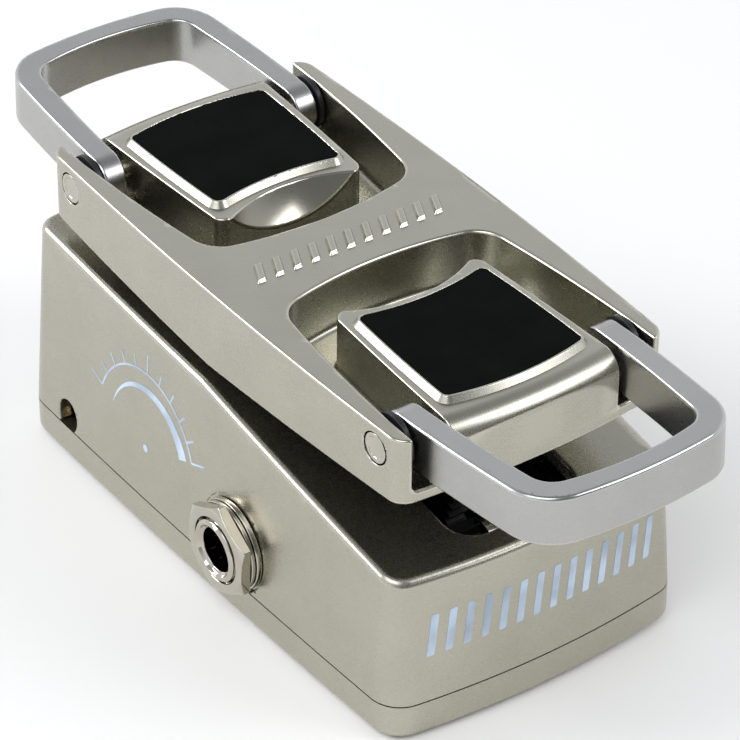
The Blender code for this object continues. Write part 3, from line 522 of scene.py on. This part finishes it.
def cover_shape(x, y, z):
    """The bottom tray, with the mat's recess, screw holes and the lower part of the jack's seat."""
    outline = base_outline(x, y)
    solid = both(cover_skin(x, y, z), z - SEAM_Z + SEAM_GAP / 2)
    solid = without(solid, both(outline + WALL, COVER_FLOOR - z, 0.5))
    recess = bowed_plate(x, y, 20.6, 36.8, 0.5, 1.0, 4.0)
    solid = without(solid, both(recess, z - 0.8), 0.12)
    solid = without(solid, both(hole_x(y, z, JACK_Y, JACK_Z, JACK_SEAT_R), x - JACK_SEAT_X), 0.15)
    for at_y in (-40.4, 40.4):
        off = np.hypot(np.abs(x) - 18.0, y - at_y)
        solid = without(solid, both(off - 2.75, z - 1.3), 0.2)
        solid = without(solid, off - 1.35)
    return solid


# ---- jack nut, along X ----
NUT_FRONT = -27.5
NUT_BACK = JACK_SEAT_X - 1.7
NUT_TURN = math.radians(34)
NUT_CORNER_R = 7.25


def nut_shape(x, y, z):
    """A hexagon nut with a turned crown and a recess round its thread."""
    across = y - JACK_Y
    up = z - JACK_Z
    flat_r = NUT_CORNER_R * math.cos(math.radians(30))
    flats = None
    for k in range(6):
        angle = NUT_TURN + math.radians(30 + 60 * k)
        face = across * math.cos(angle) + up * math.sin(angle) - flat_r
        flats = face if flats is None else both(flats, face, 0.2, 0.5)
    off = np.hypot(across, up)
    crown = (off - 6.35 - 1.7 * (x - NUT_FRONT)) / 1.97
    solid = both(both(flats, crown, 0.12), NUT_FRONT - x, 0.12)
    solid = both(solid, x - NUT_BACK, 0.15)
    return without(solid, off - 4.75 - 0.5 * np.clip(NUT_FRONT + 0.5 - x, 0, 1), 0.1)


# ---- turned pieces ----
def soften(points, round_r, closed=False, steps=4):
    """Rounds the corners of a profile; the two ends of an open one stay."""
    made = []
    count = len(points)
    for i, point in enumerate(points):
        here = np.array(point, float)
        if not closed and i in (0, count - 1):
            made.append(here)
            continue
        back = np.array(points[i - 1], float) - here
        ahead = np.array(points[(i + 1) % count], float) - here
        reach = min(round_r, 0.45 * np.linalg.norm(back), 0.45 * np.linalg.norm(ahead))
        start = here + back / np.linalg.norm(back) * reach
        end = here + ahead / np.linalg.norm(ahead) * reach
        for t in np.linspace(0, 1, steps + 1):
            made.append((1 - t) ** 2 * start + 2 * t * (1 - t) * here + t * t * end)
    return made


def lathe(name, profile, axis, centre, matrix, round_r=0.1, closed=False, segments=72):
    """A turned piece from (along, radius) points, round X or Z; closed makes a ring."""
    bm = bmesh.new()
    rings = []
    for along, radius in soften(profile, round_r, closed):
        count = segments if radius > 1e-6 else 1
        ring = []
        for i in range(count):
            angle = 2 * math.pi * i / segments
            a = centre[0] + radius * math.cos(angle)
            b = centre[1] + radius * math.sin(angle)
            spot = (along, a, b) if axis == "x" else (a, b, along)
            ring.append(bm.verts.new([c * MM for c in spot]))
        rings.append(ring)
    pairs = list(zip(rings, rings[1:]))
    if closed:
        pairs.append((rings[-1], rings[0]))
    for low, high in pairs:
        for i in range(segments):
            j = (i + 1) % segments
            corners = [low[i % len(low)], low[j % len(low)], high[j % len(high)], high[i % len(high)]]
            unique = list(dict.fromkeys(corners))
            if len(unique) > 2:
                bm.faces.new(unique)
    bmesh.ops.recalc_face_normals(bm, faces=bm.faces)
    mesh = bpy.data.meshes.new(name)
    bm.to_mesh(mesh)
    bm.free()
    mesh.transform(matrix)
    mesh.shade_smooth()
    mesh.set_sharp_from_angle(angle=math.radians(35))
    obj = bpy.data.objects.new(name, mesh)
    bpy.context.scene.collection.objects.link(obj)
    return obj


# ---- materials ----
EDGE_GLOSS = 0.1  # how much smoother the metal is on its rubbed edges
SHEEN_GLOSS = 0.1  # and in the polished places


def node_material(name):
    """A new material with its node tree and its shader."""
    mat = bpy.data.materials.new(name)
    mat.use_nodes = True
    tree = mat.node_tree
    return mat, tree, tree.nodes["Principled BSDF"]


def noise(tree, scale, detail=3.0, stretch=(1, 1, 1)):
    """Noise over the piece's own coordinates, which are metres in the row frame."""
    place = tree.nodes.new("ShaderNodeTexCoord")
    turn = tree.nodes.new("ShaderNodeMapping")
    turn.inputs["Scale"].default_value = stretch
    tree.links.new(place.outputs["Object"], turn.inputs["Vector"])
    made = tree.nodes.new("ShaderNodeTexNoise")
    made.inputs["Scale"].default_value = scale
    made.inputs["Detail"].default_value = detail
    made.inputs["Roughness"].default_value = 0.5
    tree.links.new(turn.outputs["Vector"], made.inputs["Vector"])
    return made.outputs["Fac"]


def spread(tree, value, low, high, from_low=0.35, from_high=0.65):
    """Maps a value's usual range onto another range."""
    made = tree.nodes.new("ShaderNodeMapRange")
    made.inputs["From Min"].default_value = from_low
    made.inputs["From Max"].default_value = from_high
    made.inputs["To Min"].default_value = low
    made.inputs["To Max"].default_value = high
    tree.links.new(value, made.inputs["Value"])
    return made.outputs["Result"]


def two_tone(tree, factor, first, second):
    """A colour between two others, each three numbers or the output of a node."""
    made = tree.nodes.new("ShaderNodeMix")
    made.data_type = "RGBA"
    for socket, tone in ((made.inputs[6], first), (made.inputs[7], second)):
        if isinstance(tone, tuple):
            socket.default_value = (*tone, 1)
        else:
            tree.links.new(tone, socket)
    tree.links.new(factor, made.inputs[0])
    return made.outputs[2]


def calculate(tree, operation, a, b):
    """One step of arithmetic with two values, each a number or the output of a node."""
    made = tree.nodes.new("ShaderNodeMath")
    made.operation = operation
    for socket, value in zip(made.inputs, (a, b)):
        if isinstance(value, (int, float)):
            socket.default_value = value
        else:
            tree.links.new(value, socket)
    return made.outputs[0]


def bump(tree, shader, height, strength, distance_mm):
    """Gives a shader a fine relief."""
    made = tree.nodes.new("ShaderNodeBump")
    made.inputs["Strength"].default_value = strength
    made.inputs["Distance"].default_value = distance_mm * MM
    tree.links.new(height, made.inputs["Height"])
    tree.links.new(made.outputs["Normal"], shader.inputs["Normal"])


def satin_metal(name, colour, roughness, grain, grain_depth, stretch=(1, 1, 1)):
    """Blasted or brushed metal: a fine grain, faintly cloudy gloss, and outer edges lighter, partly as
    rubbed metal and partly as a painted highlight.
    """
    mat, tree, shader = node_material(name)
    cloud = noise(tree, 140, 4)
    fine = noise(tree, grain, 2, stretch)
    dark = tuple(c * 0.97 for c in colour)
    light = tuple(min(c * 1.02, 1) for c in colour)
    base = two_tone(tree, spread(tree, cloud, 0, 1), dark, light)
    # painted highlight, partly rubbed metal: outer edges are mixed towards a lighter colour
    wear_and_highlight = tree.nodes.new("ShaderNodeAttribute")
    wear_and_highlight.attribute_name = "edge_wear_and_highlight"
    worn_and_lit = spread(tree, wear_and_highlight.outputs["Fac"], 0, 1, 0.1, 1.0)
    bright = tuple(min(c * 1.15 + 0.03, 1) for c in colour)
    tree.links.new(two_tone(tree, worn_and_lit, base, bright), shader.inputs["Base Color"])
    rough = spread(tree, fine, roughness - 0.02, roughness + 0.03)
    sheen = tree.nodes.new("ShaderNodeAttribute")
    sheen.attribute_name = "sheen"
    rubbed = calculate(tree, "SUBTRACT", rough, calculate(tree, "MULTIPLY", worn_and_lit, EDGE_GLOSS))
    polish = calculate(tree, "MULTIPLY", sheen.outputs["Fac"], SHEEN_GLOSS)
    tree.links.new(calculate(tree, "SUBTRACT", rubbed, polish), shader.inputs["Roughness"])
    shader.inputs["Metallic"].default_value = 1.0
    bump(tree, shader, fine, 0.09, grain_depth)
    return mat


def polished_metal(name, colour, roughness):
    """Plated metal with faint turning lines and a few duller spots."""
    mat, tree, shader = node_material(name)
    cloud = noise(tree, 400, 4)
    dark = tuple(c * 0.93 for c in colour)
    tone = two_tone(tree, spread(tree, cloud, 0, 1), dark, colour)
    tree.links.new(tone, shader.inputs["Base Color"])
    tree.links.new(spread(tree, cloud, roughness * 0.8, roughness * 1.5), shader.inputs["Roughness"])
    shader.inputs["Metallic"].default_value = 1.0
    bump(tree, shader, noise(tree, 2500, 2, (3, 1, 1)), 0.15, 0.003)
    return mat


def rubber_like(name, colour, roughness, grain, depth, specular=0.45):
    """Rubber or moulded plastic with a fine leathery grain."""
    mat, tree, shader = node_material(name)
    cloud = noise(tree, 160, 3)
    fine = noise(tree, grain, 3)
    dark = tuple(c * 0.8 for c in colour)
    light = tuple(c * 1.25 for c in colour)
    tone = two_tone(tree, spread(tree, cloud, 0, 1), dark, light)
    tree.links.new(tone, shader.inputs["Base Color"])
    tree.links.new(spread(tree, fine, roughness - 0.05, roughness + 0.07), shader.inputs["Roughness"])
    shader.inputs["Specular IOR Level"].default_value = specular
    bump(tree, shader, fine, 0.4, depth)
    return mat


SHELL = satin_metal("satin_champagne_nickel", (0.452, 0.436, 0.364), 0.28, 5200, 0.0022)
LOOP_METAL = satin_metal("satin_loop_metal", (0.436, 0.432, 0.415), 0.29, 4200, 0.004, (1, 1, 2.5))
CHROME = polished_metal("nickel_plate", (0.53, 0.50, 0.43), 0.05)
STEEL = satin_metal("bright_steel", (0.56, 0.56, 0.55), 0.25, 6000, 0.004)
BLACK_STEEL = satin_metal("black_oxide", (0.045, 0.045, 0.048), 0.38, 5000, 0.005)
RUBBER = rubber_like("black_rubber", (0.0035, 0.004, 0.0036), 0.55, 2600, 0.006, 0.02)
MAT_RUBBER = rubber_like("ribbed_mat_rubber", (0.016, 0.016, 0.016), 0.75, 1500, 0.06, 0.3)
PLASTIC = rubber_like("black_moulded_plastic", (0.014, 0.014, 0.015), 0.38, 1800, 0.01)
BRONZE = polished_metal("phosphor_bronze", (0.72, 0.50, 0.24), 0.2)
PRINT = rubber_like("pale_blue_print", (0.46, 0.55, 0.66), 0.5, 3000, 0.004)


def board_material():
    """Green solder mask with a faint pattern of tracks under it."""
    mat, tree, shader = node_material("green_solder_mask")
    tracks = tree.nodes.new("ShaderNodeTexBrick")
    place = tree.nodes.new("ShaderNodeTexCoord")
    tree.links.new(place.outputs["Object"], tracks.inputs["Vector"])
    tracks.inputs["Scale"].default_value = 300
    tracks.inputs["Mortar Size"].default_value = 0.03
    tracks.inputs["Color1"].default_value = (0.012, 0.10, 0.04, 1)
    tracks.inputs["Color2"].default_value = (0.015, 0.12, 0.05, 1)
    tracks.inputs["Mortar"].default_value = (0.03, 0.19, 0.08, 1)
    tree.links.new(tracks.outputs["Color"], shader.inputs["Base Color"])
    shader.inputs["Roughness"].default_value = 0.35
    return mat


SLOT_MATERIAL = {
    "shell": SHELL,
    "handle_metal": LOOP_METAL,
    "chrome": CHROME,
    "steel": STEEL,
    "black_steel": BLACK_STEEL,
    "rubber": RUBBER,
    "black_plastic": PLASTIC,
    "board": board_material(),
    "bronze": BRONZE,
}
for node, obj in frame["nodes"].items():
    obj.data.materials.clear()
    obj.data.materials.append(MAT_RUBBER if node == "base_mat" else SLOT_MATERIAL[SLOT_OF[node]])

# ---- cast pieces ----
COARSE = 1.0


def join_treadle(piece):
    """Makes a piece part of the treadle casting; it stands for no CAD node of its own."""
    piece.data.materials.append(SHELL)
    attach(piece, BODY_OF["treadle"])


def make_treadle():
    """The casting with its polished scoops, the pivot lugs under it and the ribs on its strip."""
    reach = TREADLE_HALF_LENGTH + 1
    made = cast(treadle_shape, (-23.2, -reach, -13.2), (23.2, reach, 0.6), 0.21 * COARSE, 0.002)
    dress(piece_from("treadle_casting", made, TREADLE, scoop_sheen), SHELL, "treadle")
    low = (-10.4, PIVOT_V - 7, PIVOT_D - 5)
    high = (10.4, PIVOT_V + 7, PIVOT_D + 10)
    made = cast(lug_shape, low, high, 0.3 * COARSE, 0.01)
    join_treadle(piece_from("treadle_pivot_lugs", made, TREADLE))
    made = cast(rib_shape, (-18.6, -2.6, -0.5), (18.6, 2.2, 0.7), 0.1 * COARSE, 0.001)
    join_treadle(piece_from("treadle_grip_ribs", made, TREADLE, lambda x, v, d: np.ones_like(x)))


def make_base():
    """The housing and the tray under it, with a crisp seam between them."""
    low = (-25.6, -47.5, 4.6)
    high = (25.6, 47.5, 36.2)
    made = cast(base_shape, low, high, 0.26 * COARSE, 0.002, crease=base_seam, worn_and_lit=base_skin)
    dress(piece_from("base_casting", made, LIFTED), SHELL, "base_housing")
    low = (-25.6, -47.5, -0.6)
    high = (25.6, 47.5, 6.2)
    made = cast(cover_shape, low, high, 0.24 * COARSE, 0.002, crease=cover_seam, worn_and_lit=cover_skin)
    dress(piece_from("bottom_cover_tray", made, LIFTED), SHELL, "bottom_cover")


def make_hinge(end, sign, side_name, side):
    """A hinge pin whose head lies in the treadle's side, and the thin washer beside the loop's arm."""
    centre = (sign * PIN_V, PIN_D)
    out_x = TREADLE_HALF_WIDTH - TREADLE_SIDE_BOW * (PIN_V / TREADLE_HALF_LENGTH) ** 2 - 0.15
    pin = [(11.9, 0), (11.9, 1.35), (14.1, 1.35), (14.1, PIN_R), (19.3, PIN_R), (19.3, PIN_HEAD_R)]
    pin += [(out_x, PIN_HEAD_R), (out_x, 1.6), (out_x - 0.14, 1.5), (out_x - 0.1, 0)]
    pin = [(side * along, radius) for along, radius in pin]
    made = lathe(f"{end}_hinge_pin_{side_name}", pin, "x", centre, TREADLE, 0.08)
    dress(made, CHROME, f"{end}_pin_{side_name}")
    washer = [(18.1, HINGE_BORE_R), (18.1, 3.9), (18.85, 3.9), (18.85, HINGE_BORE_R)]
    washer = [(side * along, radius) for along, radius in washer]
    made = lathe(f"{end}_hinge_washer_{side_name}", washer, "x", centre, TREADLE, 0.12, True)
    dress(made, PLASTIC, f"{end}_washer_{side_name}")


def make_ends():
    """At each end of the treadle a loop on its two hinges, a rubber pad and the frame round the pad."""
    loop = cast(loop_shape, (-18.9, -4.3, -4.2), (18.9, 29.2, 4.2), 0.17 * COARSE, 0.002)
    rim = cast(rim_shape, (-12.4, 14.8, -0.65), (12.4, 39.6, 0.9), 0.08 * COARSE, 0.0005)
    pad = cast(pad_shape, (-12, 15, -0.4), (12, 39, 0.85), 0.12 * COARSE, 0.001)
    for end, sign in (("front", -1), ("rear", 1)):
        turn = Matrix.Rotation(math.pi, 4, "Z") if sign < 0 else Matrix.Identity(4)
        hinge = TREADLE @ Matrix.Translation((0, sign * PIN_V * MM, PIN_D * MM)) @ turn
        tilt = Matrix.Rotation(HANDLE_TILT[sign], 4, "X")
        dress(piece_from(f"{end}_loop_bar", loop, hinge @ tilt), LOOP_METAL, f"{end}_handle")
        dress(piece_from(f"{end}_tread_pad", pad, TREADLE @ turn), RUBBER, f"{end}_pad")
        join_treadle(piece_from(f"{end}_pad_frame", rim, TREADLE @ turn))
        for side_name, side in (("left", -1), ("right", 1)):
            make_hinge(end, sign, side_name, side)


def make_jack():
    """The jack's nut, its threaded bushing and the two washers behind the nut."""
    low = (-28, JACK_Y - 7.8, JACK_Z - 7.8)
    high = (-25.4, JACK_Y + 7.8, JACK_Z + 7.8)
    made = cast(nut_shape, low, high, 0.11 * COARSE)
    dress(piece_from("jack_hex_nut", made, LIFTED), CHROME, "jack_nut")
    centre = (JACK_Y, JACK_Z)
    crest_r = 4.57
    root_r = 4.25
    pitch = 0.75
    barrel = [(-27.9, 3.9), (-27.9, 4.15), (-27.6, 4.5)]
    for k in range(10):
        start = -27.5 + pitch * k
        barrel += [(start, crest_r), (start + pitch / 2, root_r)]
    barrel += [(-19.9, crest_r), (-19.9, 3.25), (-27.2, 3.25), (-27.45, 3.6)]
    made = lathe("jack_threaded_bushing", barrel, "x", centre, LIFTED, 0.07, True, 96)
    dress(made, CHROME, "jack_bushing")
    for where, out, back_x, outer_r in (("inner", 0.9, 0.1, 6.7), ("outer", 1.6, 1.0, 6.5)):
        low_x = JACK_SEAT_X - out
        high_x = JACK_SEAT_X - back_x
        ring = [(low_x, JACK_BORE_R), (low_x, outer_r), (high_x, outer_r), (high_x, JACK_BORE_R)]
        made = lathe(f"jack_ring_washer_{where}", ring, "x", centre, LIFTED, 0.18, True, 96)
        dress(made, CHROME, f"jack_washer_{where}")


def make_stops():
    """The four rubber stops on top of the housing, under the treadle's heel and toe."""
    for end, (at_x, at_y), proud in (("heel", HEEL_STOP, 1.7), ("toe", TOE_STOP, 2.4)):
        top_z = RIDGE_Z + (FAR_SLOPE if at_y > 0 else NEAR_SLOPE) * at_y
        foot_z = top_z - STOP_DEPTH
        profile = [(foot_z, 0), (foot_z, STOP_R), (top_z + proud, 1.5), (top_z + proud, 0)]
        for side_name, side in (("right", 1), ("left", -1)):
            made = lathe(
                f"{end}_rubber_stop_{side_name}", profile, "z", (side * at_x, at_y), LIFTED, 0.5
            )
            dress(made, RUBBER, f"{end}_bumper_{side_name}")


make_treadle()
make_base()
make_ends()
make_jack()
make_stops()

# ---- printed marks ----
PAINT = 0.02  # how far the paint stands out of the wall


def side_arc_depth(along, half, bow, half_along, bow_along, z):
    """How far out a bowed, drafted wall lies at a place along it."""
    reach = half_along - bow_along
    radius = (reach**2 + bow**2) / (2 * bow)
    inset = BASE_DRAFT * (z - SEAM_Z)
    return half - radius + math.sqrt((radius - inset) ** 2 - along**2)


def on_front(u, w):
    """A point of the front wall: u runs along X and w is the height."""
    depth = side_arc_depth(u, BASE_HALF_LENGTH, BASE_END_BOW, BASE_HALF_WIDTH, BASE_SIDE_BOW, w)
    return (u, -depth - PAINT, w)


def on_left(u, w):
    """A point of the left wall: u runs along Y and w is the height."""
    depth = side_arc_depth(u, BASE_HALF_WIDTH, BASE_SIDE_BOW, BASE_HALF_LENGTH, BASE_END_BOW, w)
    return (-depth - PAINT, u, w)


def printed(name, shapes, place):
    """A thin layer of paint: outlines laid on a wall."""
    bm = bmesh.new()
    for outline in shapes:
        spots = [place(u, w) for u, w in outline]
        bm.faces.new([bm.verts.new([c * MM for c in (x, y, z + LIFT)]) for x, y, z in spots])
    mesh = bpy.data.meshes.new(name)
    bm.to_mesh(mesh)
    bm.free()
    obj = bpy.data.objects.new(name, mesh)
    bpy.context.scene.collection.objects.link(obj)
    obj.data.materials.append(PRINT)
    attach(obj, "base")


def strip(points, width):
    """Quads along a line of (u, w) points."""
    points = [np.array(p, float) for p in points]
    edges = []
    for i, here in enumerate(points):
        way = points[min(i + 1, len(points) - 1)] - points[max(i - 1, 0)]
        across = np.array([-way[1], way[0]]) / np.linalg.norm(way) * width / 2
        edges.append((here + across, here - across))
    return [[a, b, d, c] for (a, b), (c, d) in zip(edges, edges[1:])]


def polar(centre, radius, degrees):
    """A point at an angle and a distance from a centre."""
    angle = math.radians(degrees)
    return (centre[0] + radius * math.cos(angle), centre[1] + radius * math.sin(angle))


def print_front_bars():
    """A row of slanted bars across the front wall."""
    foot = 12.6
    head = 18.9
    bars = []
    for k in range(14):
        u = -18.6 + 2.75 * k
        corners = [(u, foot), (u + 1.15, foot), (u + 2.15, head), (u + 1.0, head)]
        bars.append([tuple(p) for p in soften(corners, 0.35, True)])
    printed("front_printed_bars", bars, on_front)


def print_side_dial():
    """A half-round scale with eleven ticks, a wedge that widens along it, and a hub."""
    centre = (13.0, 14.0)
    scale_r = 12.2
    line = 0.32
    start = 20  # degrees
    marks = strip([polar(centre, scale_r, start + 4 * k) for k in range(36)], line)
    for k in range(11):
        degrees = start + 14 * k
        tick_r = 15.4 if k % 5 == 0 else 14.2
        marks += strip([polar(centre, scale_r, degrees), polar(centre, tick_r, degrees)], line)
    wedge_r = 9.0
    for k in range(20):
        first = start + 7 * k
        last = first + 7
        inner = [polar(centre, wedge_r, first), polar(centre, wedge_r, last)]
        outer = [polar(centre, 9.1 + 0.09 * (k + 1), last), polar(centre, 9.1 + 0.09 * k, first)]
        marks.append(inner + outer)
    marks.append([polar(centre, 0.6, 30 * k) for k in range(12)])
    printed("side_printed_dial", marks, on_left)


print_front_bars()
print_side_dial()

# ---- floor, lights and camera ----
LIGHT_COLOUR = (0.97, 0.995, 1.05)
SKY_COLOUR = (0.965, 0.995, 1.055)
# brightness of the surroundings from the horizon, 0, to straight above, 1
SKY = ((0.0, 0.95), (0.35, 0.95), (0.58, 0.88), (0.82, 0.45), (1.0, 0.2))
FRONT_SHADE = 0.25  # the room behind the camera is darker than the rest
MIDDLE = (0, 0, 0.03)


def make_floor():
    """A wide pale floor with a faint variation of tone."""
    size = 3.0
    bm = bmesh.new()
    bmesh.ops.create_grid(bm, x_segments=2, y_segments=2, size=size)
    mesh = bpy.data.meshes.new("studio_floor")
    bm.to_mesh(mesh)
    bm.free()
    obj = bpy.data.objects.new("studio_floor", mesh)
    bpy.context.scene.collection.objects.link(obj)
    mat, tree, shader = node_material("pale_floor")
    cloud = spread(tree, noise(tree, 3, 3), 0, 1)
    tone = two_tone(tree, cloud, (0.955, 0.94, 0.905), (0.985, 0.965, 0.925))
    tree.links.new(tone, shader.inputs["Base Color"])
    shader.inputs["Roughness"].default_value = 0.7
    shader.inputs["Specular IOR Level"].default_value = 0.2
    obj.data.materials.append(mat)


def make_world():
    """Pale surroundings, darker straight above and at the front."""
    world = bpy.data.worlds.new("studio")
    bpy.context.scene.world = world
    world.use_nodes = True
    tree = world.node_tree
    backdrop = tree.nodes["Background"]
    direction = tree.nodes.new("ShaderNodeTexCoord")
    axes = tree.nodes.new("ShaderNodeSeparateXYZ")
    tree.links.new(direction.outputs["Generated"], axes.inputs[0])
    ramp = tree.nodes.new("ShaderNodeValToRGB")
    tree.links.new(axes.outputs["Z"], ramp.inputs[0])
    ramp.color_ramp.elements[0].position = SKY[0][0]
    ramp.color_ramp.elements[1].position = SKY[-1][0]
    for at, _ in SKY[1:-1]:
        ramp.color_ramp.elements.new(at)
    for element, (_, level) in zip(ramp.color_ramp.elements, SKY):
        element.color = (*(level * c for c in SKY_COLOUR), 1)
    tree.links.new(ramp.outputs[0], backdrop.inputs["Color"])
    shade = spread(tree, axes.outputs["Y"], FRONT_SHADE, 1.0, -0.85, -0.35)
    tree.links.new(shade, backdrop.inputs["Strength"])


def area_light(name, spot, size, energy):
    """A soft box that points at the middle of the pedal."""
    data = bpy.data.lights.new(name, "AREA")
    data.shape = "RECTANGLE"
    data.size, data.size_y = size
    data.energy = energy
    data.color = LIGHT_COLOUR
    obj = bpy.data.objects.new(name, data)
    bpy.context.scene.collection.objects.link(obj)
    obj.location = spot
    obj.rotation_euler = (Vector(MIDDLE) - Vector(spot)).to_track_quat("-Z", "Y").to_euler()


make_floor()
make_world()
area_light("back_left_box", (-0.62, 0.62, 0.50), (0.55, 0.34), 4.4)
area_light("overhead_box", (-0.42, -0.22, 0.72), (0.6, 0.5), 2.2)
area_light("front_right_box", (0.46, -0.57, 0.59), (0.42, 0.48), 2.5)

CAMERA_AZIMUTH = math.radians(-35.6)
CAMERA_ELEVATION = math.radians(35.15)
CAMERA_DISTANCE = 552.3
CAMERA_OFFSET = (3.8, 20.25)
back = Vector(
    (
        math.sin(CAMERA_AZIMUTH) * math.cos(CAMERA_ELEVATION),
        -math.cos(CAMERA_AZIMUTH) * math.cos(CAMERA_ELEVATION),
        math.sin(CAMERA_ELEVATION),
    )
)
right = Vector((0, 0, 1)).cross(back).normalized()
up = back.cross(right)
lens = bpy.data.cameras.new("camera")
lens.sensor_width = 36
lens.lens = 189.82
lens.clip_start = 0.01
camera = bpy.data.objects.new("camera", lens)
bpy.context.scene.collection.objects.link(camera)
camera_place = Matrix((right, up, back)).transposed().to_4x4()
offset = right * CAMERA_OFFSET[0] + up * CAMERA_OFFSET[1] + back * CAMERA_DISTANCE
camera_place.translation = offset * MM + Vector((0, 0, LIFT * MM))
camera.matrix_world = camera_place
bpy.context.scene.camera = camera
bpy.context.scene.view_settings.view_transform = "Standard"
